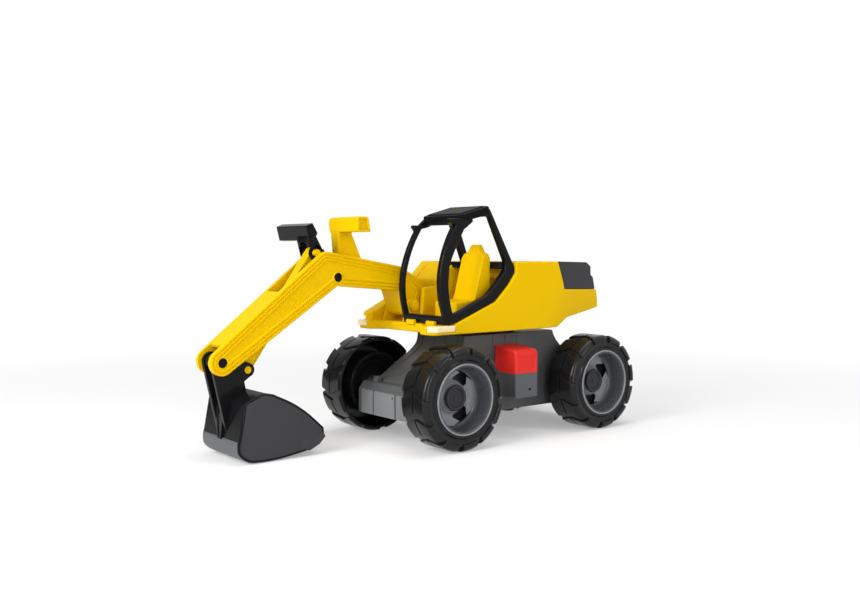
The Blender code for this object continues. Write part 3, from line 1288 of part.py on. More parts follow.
def build_grip():
    """The fixed hand grip behind the knee: a flared stem and a bar that reaches to the left."""
    front, rear = grip_foot()
    low = GRIP_BAR_TOP - GRIP_BAR_HEIGHT
    bar_rear = GRIP_BAR_FRONT + GRIP_BAR_DEPTH
    stem = [(front, crown_line(front) + GAP), (rear, crown_line(rear) + GAP)]
    stem += [(bar_rear + 4 * MM, low + 2 * MM), (GRIP_BAR_FRONT + 3 * MM, low + 2 * MM)]
    half = GRIP_STEM_WIDTH / 2
    plate = side_solid(stem, BOOM_CENTRE - half, BOOM_CENTRE + half)
    grip = Piece("boom_grip", plate, BOOM, "yellow plastic")
    edge = 3 * MM
    corners = [(GRIP_BAR_FRONT, low, edge), (bar_rear, low, edge)]
    corners += [(bar_rear, GRIP_BAR_TOP, edge), (GRIP_BAR_FRONT, GRIP_BAR_TOP, edge)]
    grip.join(side_solid(rounded(corners, 2), BOOM_CENTRE - half - GRIP_BAR_PAST, GRIP_REACH))
    grip.join(tenon_mesh(0))


def slot_outline():
    """The slot of the push rod's upper pin in the lever: the path that the linkage gives it.

    The rod keeps its slope while the bucket's lug carries it round, and the lever follows the
    bucket at a fixed ratio, so the pin travels along the lever's cheek.
    """
    path = []
    steps = 10
    for step in range(steps + 1):
        curl = BUCKET_CURL[0] + (BUCKET_CURL[1] - BUCKET_CURL[0]) * step / steps
        lug = turned_point(BUCKET_ARM, curl)
        moved = plus(LEVER_ARM, (lug[0] - BUCKET_ARM[0], lug[1] - BUCKET_ARM[1]))
        path.append(plus(KNEE_PIN, turned_point(moved, -LEVER_PER_BUCKET * curl)))
    return swept_hull(path, LINK_PIN_RADIUS + RUNNING)


def swept_hull(path, radius):
    """The outline round a disc moved along a nearly straight path."""
    points = []
    for place in path:
        points += arc(place, radius, 0, 345, 23)
    return hull(points)


def link_spans():
    """The two cheeks that straddle the push rod, as X limits."""
    inner = LINK_WIDTH / 2 + SIDE_PLAY
    return (BOOM_CENTRE + inner, BOOM_CENTRE + LINK_HALF), (BOOM_CENTRE - LINK_HALF, BOOM_CENTRE - inner)


def build_lever():
    """The control lever: two slotted cheeks on the knee pin, and a six-sided grip to the right."""
    grip = plus(KNEE_PIN, GRIP_ARM)
    middle = arc(ROD_PIN_TOP, LEVER_BODY_RADIUS, 0, 345, 23)
    body = hull(middle + arc(KNEE_PIN, LEVER_BOSS_RADIUS, 0, 345, 23))
    neck = hull(middle + arc(grip, LEVER_NECK_RADIUS, 0, 345, 23))
    (left_low, left_high), (right_low, right_high) = link_spans()
    reach = BOOM_CENTRE - LINK_HALF - LEVER_GRIP_REACH
    bar_mesh = cross_bar(LEVER_GRIP_RADIUS, reach, left_high + 1 * MM, grip, 6, LEVER_GRIP_TILT)
    lever = Piece("control_lever", bar_mesh, LEVER, "black gloss plastic")
    for low, high in ((left_low, left_high), (right_low, right_high)):
        lever.join(side_solid(neck, low, high), side_solid(body, low, high))
    over = 2 * CUT_OVER
    limits = (BOOM_CENTRE - LINK_HALF - over, BOOM_CENTRE + LINK_HALF + over)
    lever.cut(cross_bar(PIN_RADIUS + RUNNING, *limits, KNEE_PIN), side_solid(slot_outline(), *limits))


def build_push_rod():
    """The push rod with a moulded pin through each end."""
    eyes = [arc(place, ROD_EYE_RADIUS, 0, 345, 23) for place in (ROD_PIN_TOP, ROD_PIN_BOTTOM)]
    half = LINK_WIDTH / 2
    blade = side_solid(hull(eyes[0] + eyes[1]), BOOM_CENTRE - half, BOOM_CENTRE + half)
    rod = Piece("push_rod", blade, ROD, "yellow plastic")
    for place in (ROD_PIN_TOP, ROD_PIN_BOTTOM):
        rod.join(cross_bar(LINK_PIN_RADIUS, BOOM_CENTRE - LINK_HALF, BOOM_CENTRE + LINK_HALF, place))


def from_bucket_pin(*points):
    """Side view points given from the bucket's pin."""
    return [plus(BUCKET_PIN, point) for point in points]


def build_bucket():
    """The bucket: a deep curved shell with side plates, and the lug that carries it."""
    shell = from_bucket_pin(BUCKET_CROWN, BUCKET_BACK_TOP, BUCKET_SPINE, BUCKET_HEEL_BACK, BUCKET_HEEL)
    shell += from_bucket_pin(BUCKET_SOLE, BUCKET_TOE, BUCKET_TIP)
    edge = from_bucket_pin(plus(BUCKET_TIP, (-8 * MM, BUCKET_TIP_RISE)), BUCKET_CHEEK, BUCKET_BROW)
    half = BUCKET_WIDTH / 2
    low, high = BOOM_CENTRE - half, BOOM_CENTRE + half
    bucket = Piece("bucket", side_solid(shell + edge, low, high), BUCKET, "bucket plastic")
    inside = offset(shell, BUCKET_WALL)
    away = 60 * MM
    mouth = [plus(inside[-1], (away, away / 2)), plus(inside[-1], (away / 2, 2 * away))]
    mouth += [plus(inside[0], (away / 3, away))]
    bucket.cut(side_solid(inside + mouth, low + BUCKET_WALL, high - BUCKET_WALL))
    sunk = BUCKET_WALL / 2
    spine, back, crown = from_bucket_pin(BUCKET_SPINE, BUCKET_BACK_TOP, BUCKET_CROWN)
    cheek = arc(BUCKET_PIN, LUG_PIN_RADIUS, 60, 190, 9)
    cheek += [plus(spine, (sunk, 0)), plus(back, (sunk, -sunk)), plus(crown, (-3 * sunk, -sunk))]
    cheek += [plus(ROD_PIN_BOTTOM, (-6 * MM, -LUG_RADIUS - 6 * MM))]
    cheek += arc(ROD_PIN_BOTTOM, LUG_RADIUS, -70, 80, 9)
    for span in link_spans():
        bucket.join(side_solid(cheek, *span))
    over = 2 * CUT_OVER
    limits = (BOOM_CENTRE - LINK_HALF - over, BOOM_CENTRE + LINK_HALF + over)
    boss = LINK_HALF - 1 * MM
    bucket.join(cross_bar(LUG_PIN_RADIUS - 2 * MM, BOOM_CENTRE - boss, BOOM_CENTRE + boss, BUCKET_PIN))
    bucket.cut(cross_bar(PIN_RADIUS + RUNNING, *limits, BUCKET_PIN))
    bucket.cut(cross_bar(LINK_PIN_RADIUS + RUNNING, *limits, ROD_PIN_BOTTOM))


build_wheels()
build_axles()
build_chassis()
build_side_boxes()
build_slew()
build_deck()
build_house()
build_engine_cover()
build_cab()
build_boom()
build_lever()
build_push_rod()
build_bucket()
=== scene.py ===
"""Looks of a toy excavator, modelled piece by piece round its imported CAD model.

Every size is in millimetres of the machine frame: its origin is on the ground under the slew axis,
the machine faces -Y, and its left side is +X. A finished piece is brought to metres in the frame of
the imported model, rides on one of that model's bodies, and stands for the CAD nodes that it shows.
"""

from __future__ import annotations

import json
import logging
import math
from collections.abc import Callable, Iterable, Sequence
from dataclasses import dataclass
from enum import Enum

import bmesh
import bpy
from mathutils import Matrix, Vector

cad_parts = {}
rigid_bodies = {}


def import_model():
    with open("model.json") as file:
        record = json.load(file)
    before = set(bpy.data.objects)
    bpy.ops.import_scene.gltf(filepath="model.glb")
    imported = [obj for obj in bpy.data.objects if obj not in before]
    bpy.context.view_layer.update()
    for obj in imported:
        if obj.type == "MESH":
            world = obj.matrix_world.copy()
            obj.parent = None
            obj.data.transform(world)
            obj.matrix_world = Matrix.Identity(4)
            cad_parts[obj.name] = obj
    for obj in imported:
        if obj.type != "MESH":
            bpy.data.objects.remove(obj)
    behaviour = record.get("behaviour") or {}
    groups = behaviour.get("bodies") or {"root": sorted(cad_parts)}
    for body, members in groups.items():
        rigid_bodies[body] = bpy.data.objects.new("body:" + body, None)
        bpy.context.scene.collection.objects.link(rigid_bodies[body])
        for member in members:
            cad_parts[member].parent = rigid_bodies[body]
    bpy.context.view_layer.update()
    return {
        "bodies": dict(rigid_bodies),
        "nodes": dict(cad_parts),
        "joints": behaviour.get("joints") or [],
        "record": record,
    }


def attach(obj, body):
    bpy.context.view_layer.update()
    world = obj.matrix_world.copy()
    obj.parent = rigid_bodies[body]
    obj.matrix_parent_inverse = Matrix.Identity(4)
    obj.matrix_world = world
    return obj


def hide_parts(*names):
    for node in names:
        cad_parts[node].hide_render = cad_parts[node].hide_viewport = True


LOG = logging.getLogger("excavator")
MM = 0.001
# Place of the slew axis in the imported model, in metres.
SLEW_AXIS = (0, 0.129, 0)
MACHINE = Matrix.Translation(SLEW_AXIS) @ Matrix.Scale(MM, 4)
# The two directions across the machine.
BOTH_SIDES = ((1, 0, 0), (-1, 0, 0))
# Steps round large, middling and small round shapes.
LARGE_ROUND, MIDDLE_ROUND, SMALL_ROUND = 96, 72, 48
# How far a cutter reaches past the face that it opens.
OVERCUT = 5

Point = tuple[float, float]
Outline = Sequence[Point]

# Distance of an axle from the slew axis, and its height.
AXLE: Point = (155, 80)
# Side view places of the boom's three pins, and the plane of its middle.
ROOT_PIN: Point = (-136, 214)
KNEE_PIN: Point = (-278, 263)
BUCKET_PIN: Point = (-474, 144)
BOOM_CENTRE = -42
# The way from the bucket's pin to the push rod's lower pin.
LUG_ARM: Point = (44, -14)
# Inner and outer face of the cheeks of the lever and of the lug, from the boom's middle.
CHEEK: Point = (9.6, 16.6)
# Right side of the cab.
CAB_RIGHT = -11


class View(Enum):
    """The drawing view of a flat outline: rows that carry (u, v, depth) to X, Y and Z."""

    SIDE = ((0, 0, 1), (1, 0, 0), (0, 1, 0))
    TOP = ((1, 0, 0), (0, 1, 0), (0, 0, 1))
    FRONT = ((1, 0, 0), (0, 0, 1), (0, 1, 0))

    def matrix(self) -> Matrix:
        """The view as a 4x4 matrix."""
        return Matrix(self.value).to_4x4()


def arc(centre: Point, radius: float, start: float, end: float, count: int) -> list[Point]:
    """Points on an arc.

    Args:
        centre: Middle of the arc.
        radius: Its radius.
        start: First angle in degrees.
        end: Last angle in degrees.
        count: Number of steps.

    Returns:
        The points, both ends included.
    """
    angles = [math.radians(start + (end - start) * step / count) for step in range(count + 1)]
    return [(centre[0] + radius * math.cos(a), centre[1] + radius * math.sin(a)) for a in angles]


def ring(centre: Point, radius: float) -> list[Point]:
    """Points round a circle, a step of 15 degrees apart."""
    return arc(centre, radius, 0, 345, 23)


def smooth(points: Outline, steps: int = 6) -> list[Point]:
    """A curve through points by the Catmull-Rom rule.

    Args:
        points: Points that the curve meets.
        steps: Steps between two points.

    Returns:
        The points of the curve.
    """
    line = [Vector(point) for point in points]
    line = [2 * line[0] - line[1]] + line + [2 * line[-1] - line[-2]]
    curve = []
    for before, start, end, after in zip(line, line[1:], line[2:], line[3:]):
        for step in range(steps):
            t = step / steps
            square = (2 * before - 5 * start + 4 * end - after) * t * t
            cube = (3 * start - before - 3 * end + after) * t**3
            curve.append(tuple(start + ((end - before) * t + square + cube) / 2))
    return curve + [tuple(points[-1])]


def belt(first: Point, second: Point, radius: float) -> list[Point]:
    """The outline of a belt round two like discs, counterclockwise.

    Args:
        first: Centre of the first disc.
        second: Centre of the second disc.
        radius: Radius of both.

    Returns:
        The points of the outline.
    """
    run = Vector(second) - Vector(first)
    heading = math.degrees(math.atan2(run.y, run.x))
    far = arc(second, radius, heading - 90, heading + 90, 14)
    return far + arc(first, radius, heading + 90, heading + 270, 14)


def hull(points: Iterable[Point]) -> list[Point]:
    """The convex outline round points, counterclockwise.

    Args:
        points: The points.

    Returns:
        The corners of the outline.
    """
    ordered = sorted(set(points))

    def half(line: Iterable[Point]) -> list[Point]:
        """One side of the outline.

        Args:
            line: The points in their order.

        Returns:
            The corners of that side, without the last one.
        """
        kept: list[Point] = []
        for point in line:
            while len(kept) > 1 and side_of(kept[-2], kept[-1], point) <= 0:
                kept.pop()
            kept.append(point)
        return kept[:-1]

    return half(ordered) + half(reversed(ordered))


def side_of(first: Point, second: Point, third: Point) -> float:
    """Positive where the third point is to the left of the way from the first to the second."""
    run = (second[0] - first[0], second[1] - first[1])
    return run[0] * (third[1] - first[1]) - run[1] * (third[0] - first[0])


def offset(points: Outline, distance: float) -> list[Point]:
    """An open line moved to its left.

    Args:
        points: The points of the line.
        distance: How far it is moved.

    Returns:
        The moved points.
    """
    line = [Vector(point) for point in points]
    moved = []
    for index, point in enumerate(line):
        before = (point - line[index - 1]).normalized() if index else None
        after = (line[index + 1] - point).normalized() if index + 1 < len(line) else None
        before, after = before or after, after or before
        normal = Vector((-before.y - after.y, before.x + after.x))
        moved.append(tuple(point + normal * (2 * distance / normal.length_squared)))
    return moved


def turned(point: Point, angle: float) -> Point:
    """A side view vector turned about X by an angle in radians."""
    cosine, sine = math.cos(angle), math.sin(angle)
    return (point[0] * cosine - point[1] * sine, point[0] * sine + point[1] * cosine)


def plus(first: Point, second: Point) -> Point:
    """The sum of two points."""
    return (first[0] + second[0], first[1] + second[1])


def flipped(points: Iterable[Point], sign: int) -> list[Point]:
    """Points on the other side of the middle where the sign is -1."""
    return [(sign * first, second) for first, second in points]


def leaning(axis: int, rate: float, level: float = 0) -> Matrix:
    """A lean that pushes each point sideways in step with its height.

    Args:
        axis: 0 to push along X, 1 to push along Y.
        rate: Push for each unit of height.
        level: The height that stays in place.

    Returns:
        The matrix.
    """
    lean = Matrix.Identity(4)
    lean[axis][2] = rate
    foot = Matrix.Translation((0, 0, level))
    return foot @ lean @ foot.inverted()


class Run:
    """A side view direction from one pin to another, with places along it and above it."""

    def __init__(self, start: Point, end: Point) -> None:
        """Take the two pins.

        Args:
            start: Side view place of the first pin.
            end: Side view place of the second pin.
        """
        self.start = Vector(start)
        self.along = (Vector(end) - self.start).normalized()
        self.length = (Vector(end) - self.start).length
        self.up = -self.along.orthogonal()

    def at(self, along: float, above: float) -> Point:
        """A point some way along the run and above it."""
        return tuple(self.start + self.along * along + self.up * above)


class Shape:
    """A mesh under work, in millimetres of the machine frame."""

    def __init__(self) -> None:
        """Start empty."""
        self.work = bmesh.new()

    @classmethod
    def plate(cls, view: View, outline: Outline, low: float, high: float, *holes: Outline) -> Shape:
        """Extrude an outline, with holes in it, from one depth to another.

        Args:
            view: The view in which the outline is drawn.
            outline: Its corners.
            low: First depth.
            high: Second depth.
            holes: Outlines of openings inside it.

        Returns:
            The closed shape.
        """
        shape = cls()
        work = shape.work
        edges = []
        for line in (outline, *holes):
            corners = [work.verts.new((u, v, low)) for u, v in line]
            edges += [work.edges.new(pair) for pair in zip(corners, corners[1:] + corners[:1])]
        if holes:
            bmesh.ops.triangle_fill(work, use_beauty=True, use_dissolve=False, edges=edges)
        else:
            bmesh.ops.contextual_create(work, geom=edges)
        made = bmesh.ops.extrude_face_region(work, geom=list(work.faces))
        lifted = [item for item in made["geom"] if isinstance(item, bmesh.types.BMVert)]
        bmesh.ops.translate(work, verts=lifted, vec=(0, 0, high - low))
        return shape.moved(view.matrix()).facing_out()

    @classmethod
    def block(cls, low: Sequence[float], high: Sequence[float]) -> Shape:
        """A box between two corners.

        Args:
            low: The corner with the low values.
            high: The corner with the high values.

        Returns:
            The box.
        """
        shape = cls()
        low, high = Vector(low), Vector(high)
        place = Matrix.Translation((low + high) / 2) @ Matrix.Diagonal((*(high - low), 1))
        bmesh.ops.create_cube(shape.work, size=1, matrix=place)
        return shape

    @classmethod
    def bar(cls, radius: float, start: Sequence[float], end: Sequence[float], sides: int) -> Shape:
        """A round bar.

        Args:
            radius: Its radius.
            start: Middle of its first end.
            end: Middle of its second end.
            sides: Number of sides.

        Returns:
            The closed bar.
        """
        shape = cls()
        start, end = Vector(start), Vector(end)
        facing = (end - start).to_track_quat("Z", "Y").to_matrix().to_4x4()
        place = Matrix.Translation((start + end) / 2) @ facing
        size = {"segments": sides, "radius1": radius, "radius2": radius, "depth": (end - start).length}
        bmesh.ops.create_cone(shape.work, cap_ends=True, matrix=place, **size)
        return shape

    @classmethod
    def cross_bar(cls, radius: float, low: float, high: float, place: Point, sides: int) -> Shape:
        """A bar along X through a side view point."""
        return cls.bar(radius, (low, *place), (high, *place), sides)

    @classmethod
    def spun(cls, profile: Outline, steps: int, closed: bool = True, arc_degrees: float = 360) -> Shape:
        """Spin a profile of (along X, radius) points about the X axis.

        Args:
            profile: The points of the profile.
            steps: Steps of the spin.
            closed: Whether the profile is a closed loop.
            arc_degrees: How far it is spun, from the +Z side towards -Y.

        Returns:
            The closed shape.
        """
        shape = cls()
        work = shape.work
        corners = [work.verts.new((along, 0, radius)) for along, radius in profile]
        ends = corners[1:] + corners[:1] if closed else corners[1:]
        edges = [work.edges.new(pair) for pair in zip(corners, ends)]
        whole = arc_degrees >= 360
        section = [] if whole else bmesh.ops.contextual_create(work, geom=edges)["faces"]
        bmesh.ops.spin(
            work,
            geom=corners + edges + section,
            axis=(1, 0, 0),
            cent=(0, 0, 0),
            dvec=(0, 0, 0),
            angle=math.radians(arc_degrees),
            steps=steps,
            use_merge=whole,
            use_duplicate=False,
        )
        if not whole:
            loose = [edge for edge in work.edges if edge.is_boundary]
            bmesh.ops.holes_fill(work, edges=loose, sides=0)
        bmesh.ops.remove_doubles(work, verts=work.verts, dist=0.001)
        return shape.facing_out()

    def facing_out(self) -> Shape:
        """Turn every face outwards."""
        bmesh.ops.recalc_face_normals(self.work, faces=self.work.faces)
        return self

    def moved(self, matrix: Matrix) -> Shape:
        """Apply a matrix to the shape."""
        bmesh.ops.transform(self.work, matrix=matrix, verts=self.work.verts)
        return self

    def twisted(self, rate: float) -> Shape:
        """Turn each point about X in step with its distance from the middle plane.

        Args:
            rate: Turn in radians for each unit of distance.

        Returns:
            The shape.
        """
        for vertex in self.work.verts:
            vertex.co = Matrix.Rotation(rate * abs(vertex.co.x), 3, "X") @ vertex.co
        return self

    def shifted(self, x: float = 0, y: float = 0, z: float = 0) -> Shape:
        """Move the shape."""
        return self.moved(Matrix.Translation((x, y, z)))

    def mirrored(self) -> Shape:
        """The shape on the other side of the machine."""
        return self.moved(Matrix.Scale(-1, 4, (1, 0, 0))).facing_out()

    def flats(self, towards: Sequence[float], least: float = 0.99) -> list[bmesh.types.BMFace]:
        """The faces that look one way.

        Args:
            towards: The direction.
            least: Smallest cosine of the angle to it.

        Returns:
            The faces.
        """
        self.work.normal_update()
        towards = Vector(towards).normalized()
        return [face for face in self.work.faces if face.normal.dot(towards) > least]

    def bevel(
        self,
        width: float,
        segments: int = 3,
        angle: float = 28,
        where: Callable[[bmesh.types.BMEdge], bool] | None = None,
    ) -> Shape:
        """Round the edges that are sharper than an angle.

        Args:
            width: Width of the rounding.
            segments: Steps across it.
            angle: Smallest angle in degrees between the faces of an edge.
            where: Picks among the edges.

        Returns:
            The shape.
        """
        self.work.normal_update()
        least = math.radians(angle)
        edges = [edge for edge in self.work.edges if edge.is_manifold and edge.calc_face_angle(0) > least]
        edges = [edge for edge in edges if where is None or where(edge)]
        bmesh.ops.bevel(
            self.work,
            geom=edges,
            offset=width,
            offset_type="OFFSET",
            segments=segments,
            profile=0.5,
            affect="EDGES",
            clamp_overlap=False,
            material=-1,
        )
        return self

    def inset(self, faces: list[bmesh.types.BMFace], width: float, depth: float) -> Shape:
        """Inset a region of faces and raise or sink it.

        Args:
            faces: The faces.
            width: Width of the border.
            depth: How far they are raised, less than zero to sink them.

        Returns:
            The shape.
        """
        bmesh.ops.inset_region(
            self.work, faces=faces, thickness=width, depth=depth, use_even_offset=True, use_boundary=True
        )
        return self

    def panel(
        self, way: Sequence[float], rim: float, slope: float, depth: float, least: float = 0.99
    ) -> Shape:
        """Raise or sink a panel inside the faces that look one way.

        Args:
            way: The direction.
            rim: Width of the rim that stays round the panel.
            slope: Width of the panel's sloped edge.
            depth: Height of the panel, less than zero where it is sunk.
            least: Smallest cosine of the angle between a face and the direction.

        Returns:
            The shape.
        """
        faces = self.flats(way, least)
        return self.inset(faces, rim, 0).inset(faces, slope, depth)

    def add(self, *others: Shape) -> Shape:
        """Put other closed shapes into this mesh as they are.

        Args:
            others: The shapes that are put in.

        Returns:
            The shape.
        """
        for other in others:
            spare = bpy.data.meshes.new("spare")
            other.work.to_mesh(spare)
            self.work.from_mesh(spare)
            bpy.data.meshes.remove(spare)
        return self

    def join(self, *others: Shape) -> Shape:
        """Unite the shape with others."""
        return self.boolean(others, "UNION")

    def cut(self, *others: Shape) -> Shape:
        """Take others away from the shape."""
        return self.boolean(others, "DIFFERENCE")

    def common(self, other: Shape) -> Shape:
        """Keep what the shape shares with another."""
        return self.boolean((other,), "INTERSECT")

    def boolean(self, others: Iterable[Shape], operation: str) -> Shape:
        """Combine the shape with others, one after the other.

        Args:
            others: The other shapes.
            operation: UNION, DIFFERENCE or INTERSECT.

        Returns:
            The shape.
        """
        for other in others:
            target, tool = self.helper(), other.helper()
            modifier = target.modifiers.new("combine", "BOOLEAN")
            modifier.operation = operation
            modifier.solver = "EXACT"
            modifier.object = tool
            graph = bpy.context.evaluated_depsgraph_get()
            result = bpy.data.meshes.new_from_object(target.evaluated_get(graph))
            self.work.clear()
            self.work.from_mesh(result)
            for spare in (target, tool):
                mesh = spare.data
                bpy.data.objects.remove(spare)
                bpy.data.meshes.remove(mesh)
            bpy.data.meshes.remove(result)
            bmesh.ops.remove_doubles(self.work, verts=self.work.verts, dist=0.002)
        return self

    def helper(self) -> bpy.types.Object:
        """A helper object that holds a copy of the mesh.

        Returns:
            The object.
        """
        mesh = bpy.data.meshes.new("helper")
        self.work.to_mesh(mesh)
        made = bpy.data.objects.new("helper", mesh)
        bpy.context.scene.collection.objects.link(made)
        return made

    def cleaned(self, angle: float = 0.6) -> Shape:
        """Melt the edges that lie inside a flat face.

        Args:
            angle: Largest angle in degrees that counts as flat.

        Returns:
            The shape.
        """
        work = self.work
        bmesh.ops.dissolve_degenerate(work, edges=work.edges, dist=0.005)
        bmesh.ops.dissolve_limit(work, angle_limit=math.radians(angle), verts=work.verts, edges=work.edges)
        return self

    def piece(self, name: str, body: str, finish: Finish, *nodes: str, crease: float = 32) -> None:
        """Hand the shape over as a piece of the scene.

        Args:
            name: Name of the piece.
            body: CAD body that it rides on.
            finish: Its finish.
            nodes: CAD nodes that it stands for.
            crease: Smallest angle in degrees of an edge that stays sharp.
        """
        self.moved(MACHINE)
        mesh = bpy.data.meshes.new(name)
        self.work.to_mesh(mesh)
        self.work.free()
        mesh.shade_smooth()
        mesh.set_sharp_from_angle(angle=math.radians(crease))
        mesh.materials.append(finish.material())
        made = bpy.data.objects.new(name, mesh)
        bpy.context.scene.collection.objects.link(made)
        normals = made.modifiers.new("even normals", "WEIGHTED_NORMAL")
        normals.keep_sharp = True
        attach(made, body)
        if nodes:
            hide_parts(*nodes)
        stands_for = ", ".join(nodes) or "nothing"
        LOG.info("%s: %d faces, rides on %s, stands for %s", name, len(mesh.polygons), body, stands_for)


class Sock:
    """A node's output that can be used in arithmetic; each operation adds a Math node."""

    def __init__(self, sheet: NodeSheet, socket: bpy.types.NodeSocket) -> None:
        """Wrap an output socket of a sheet of nodes."""
        self.sheet = sheet
        self.socket = socket

    def math(self, operation: str, first: Sock | float, second: Sock | float) -> Sock:
        """Add a Math node on two values."""
        return self.sheet.add("ShaderNodeMath", {"operation": operation}, {0: first, 1: second})

    def __add__(self, other: Sock | float) -> Sock:
        """Sum."""
        return self.math("ADD", self, other)

    def __radd__(self, other: float) -> Sock:
        """Sum, the other way round."""
        return self.math("ADD", other, self)

    def __sub__(self, other: Sock | float) -> Sock:
        """Difference."""
        return self.math("SUBTRACT", self, other)

    def __rsub__(self, other: float) -> Sock:
        """Difference, the other way round."""
        return self.math("SUBTRACT", other, self)

    def __mul__(self, other: Sock | float) -> Sock:
        """Product."""
        return self.math("MULTIPLY", self, other)

    def __rmul__(self, other: float) -> Sock:
        """Product, the other way round."""
        return self.math("MULTIPLY", other, self)


class NodeSheet:
    """The nodes of one material or world."""

    def __init__(self, owner: bpy.types.Material | bpy.types.World) -> None:
        """Take over the owner's node tree, empty.

        Args:
            owner: The material or the world.
        """
        owner.use_nodes = True
        self.tree = owner.node_tree
        self.tree.nodes.clear()

    def add(
        self, kind: str, settings: dict | None = None, sockets: dict | None = None, out: int | str = 0
    ) -> Sock:
        """Add a node.

        Args:
            kind: Node type.
            settings: Attributes that are set first; "stops" are a ramp's positions and values.
            sockets: Values or links of inputs, by name or number.
            out: Name or number of the output to return.

        Returns:
            That output.
        """
        node = self.tree.nodes.new(kind)
        for key, value in (settings or {}).items():
            if key == "stops":
                self.set_stops(node.color_ramp, value)
            else:
                setattr(node, key, value)
        for key, value in (sockets or {}).items():
            if isinstance(value, Sock):
                self.tree.links.new(value.socket, node.inputs[key])
            else:
                node.inputs[key].default_value = value
        return Sock(self, node.outputs[out] if node.outputs else None)

    @staticmethod
    def set_stops(ramp: bpy.types.ColorRamp, stops: Sequence[Point]) -> None:
        """Give a ramp its grey stops.

        Args:
            ramp: The ramp.
            stops: Place and grey value of each stop.
        """
        while len(ramp.elements) < len(stops):
            ramp.elements.new(0.5)
        for element, (place, grey) in zip(ramp.elements, stops):
            element.position = place
            element.color = (grey, grey, grey, 1)

    def noise(self, scale: float, detail: float = 3, stretch: Sequence[float] = (1, 1, 1)) -> Sock:
        """Noise on the piece's own coordinates, with a scale for each metre.

        Args:
            scale: Number of patches for each metre.
            detail: Number of finer layers.
            stretch: Factor on each axis.

        Returns:
            The noise, from 0 to 1.
        """
        place = self.add("ShaderNodeTexCoord", out="Object")
        place = self.add("ShaderNodeMapping", None, {"Vector": place, "Scale": stretch})
        sockets = {"Vector": place, "Scale": scale, "Detail": detail}
        return self.add("ShaderNodeTexNoise", None, sockets, "Fac")

    def ramp(self, value: Sock, *stops: Point) -> Sock:
        """A value through a ramp of grey stops."""
        return self.add("ShaderNodeValToRGB", {"stops": stops}, {"Fac": value})

    def blend(self, share: Sock, first: Sock | tuple, second: Sock | tuple) -> Sock:
        """A mix of two colours."""
        settings = {"data_type": "RGBA", "clamp_factor": True}
        return self.add("ShaderNodeMix", settings, {0: share, 6: first, 7: second}, 2)


def tinted(colour: Sequence[float], factor: float) -> tuple[float, float, float, float]:
    """A colour made lighter or darker."""
    return (*(min(channel * factor, 1) for channel in colour), 1)


@dataclass(frozen=True)
class Finish:
    """A moulded plastic or metal finish with mottling, grain, fine scuffs and lighter edges: rubbed wear and
    painted highlight.
    """

    name: str
    slot: str
    colour: tuple[float, float, float]
    roughness: float
    specular: float = 0.5
    metallic: float = 0.0
    mottle: float = 0.05
    drift_scale: float = 11
    grain_scale: float = 900
    scratch_scale: float = 160
    grain: float = 0.02
    scuff: float = 0.06
    # edge: how far pointed edges are painted lighter, partly as rubbed wear and partly as painted highlight
    edge: float = 0.0
    stretch: tuple[float, float, float] = (1, 1, 1)

    def material(self) -> bpy.types.Material:
        """The finish as a material, made once.

        Returns:
            The material.
        """
        known = bpy.data.materials.get(self.name)
        if known:
            return known
        made = bpy.data.materials.new(self.name)
        sheet = NodeSheet(made)
        drift = sheet.noise(self.drift_scale, 4)
        grain = sheet.noise(self.grain_scale, 2, self.stretch)
        scratches = sheet.noise(self.scratch_scale, 5, (1, 9, 2.5))
        scuffs = sheet.ramp(scratches, (0.56, 0), (0.7, 1))
        # Pointiness picks out the edges, which are painted lighter below, partly as rubbed wear and partly as
        # painted highlight.
        edges = sheet.add("ShaderNodeNewGeometry", out="Pointiness")
        edges = sheet.ramp(edges, (0.5, 0), (0.6, 1))
        base = sheet.blend(drift, tinted(self.colour, 1 - self.mottle), tinted(self.colour, 1 + self.mottle))
        speck = sheet.ramp(grain, (0.35, 0), (0.75, 1))
        base = sheet.blend(speck * (self.mottle * 0.6), base, tinted(self.colour, 1.35))
        # Edges painted lighter: partly rubbed wear, partly painted highlight.
        base = sheet.blend(edges * self.edge, base, tinted([0.5 * c + 0.25 for c in self.colour], 1))
        rough = self.roughness + (drift - 0.5) * (self.scuff * 1.2)
        rough = rough + scuffs * self.scuff - edges * (self.edge * 0.3)
        height = grain * self.grain + drift * 0.15
        relief = {"Strength": 0.25, "Distance": 0.0006, "Height": height}
        bump = sheet.add("ShaderNodeBump", None, relief, "Normal")
        surface = {
            "Base Color": base,
            "Roughness": rough,
            "Metallic": self.metallic,
            "Specular IOR Level": self.specular,
            "Normal": bump,
        }
        shader = sheet.add("ShaderNodeBsdfPrincipled", None, surface)
        sheet.add("ShaderNodeOutputMaterial", None, {"Surface": shader})
        made.diffuse_color = (*self.colour, 1)
        return made


YELLOW = Finish(
    "yellow moulding", "yellow", (0.74, 0.455, 0.0), 0.36, specular=0.04, mottle=0.025, grain=0.008
)
BLACK = Finish(
    "black gloss moulding", "black", (0.0045, 0.0045, 0.005), 0.15, specular=0.11, mottle=0.15, grain=0.05
)
ROOF = Finish(
    "black roof moulding", "black", (0.0045, 0.0045, 0.005), 0.42, specular=0.04, mottle=0.15, grain=0.3
)
TYRE = Finish(
    "tyre moulding", "tyre", (0.006, 0.006, 0.0068), 0.2, specular=0.22, mottle=0.15, grain=0.12, edge=0.03
)
GREY = Finish(
    "dark grey moulding", "dark_grey", (0.08, 0.083, 0.087), 0.34, specular=0.25, mottle=0.08, grain=0.4,
    edge=0.06,
)
RIM = Finish(
    "rim moulding", "dark_grey", (0.062, 0.066, 0.072), 0.26, specular=0.4, mottle=0.04, grain=0.03,
    scuff=0.03,
)
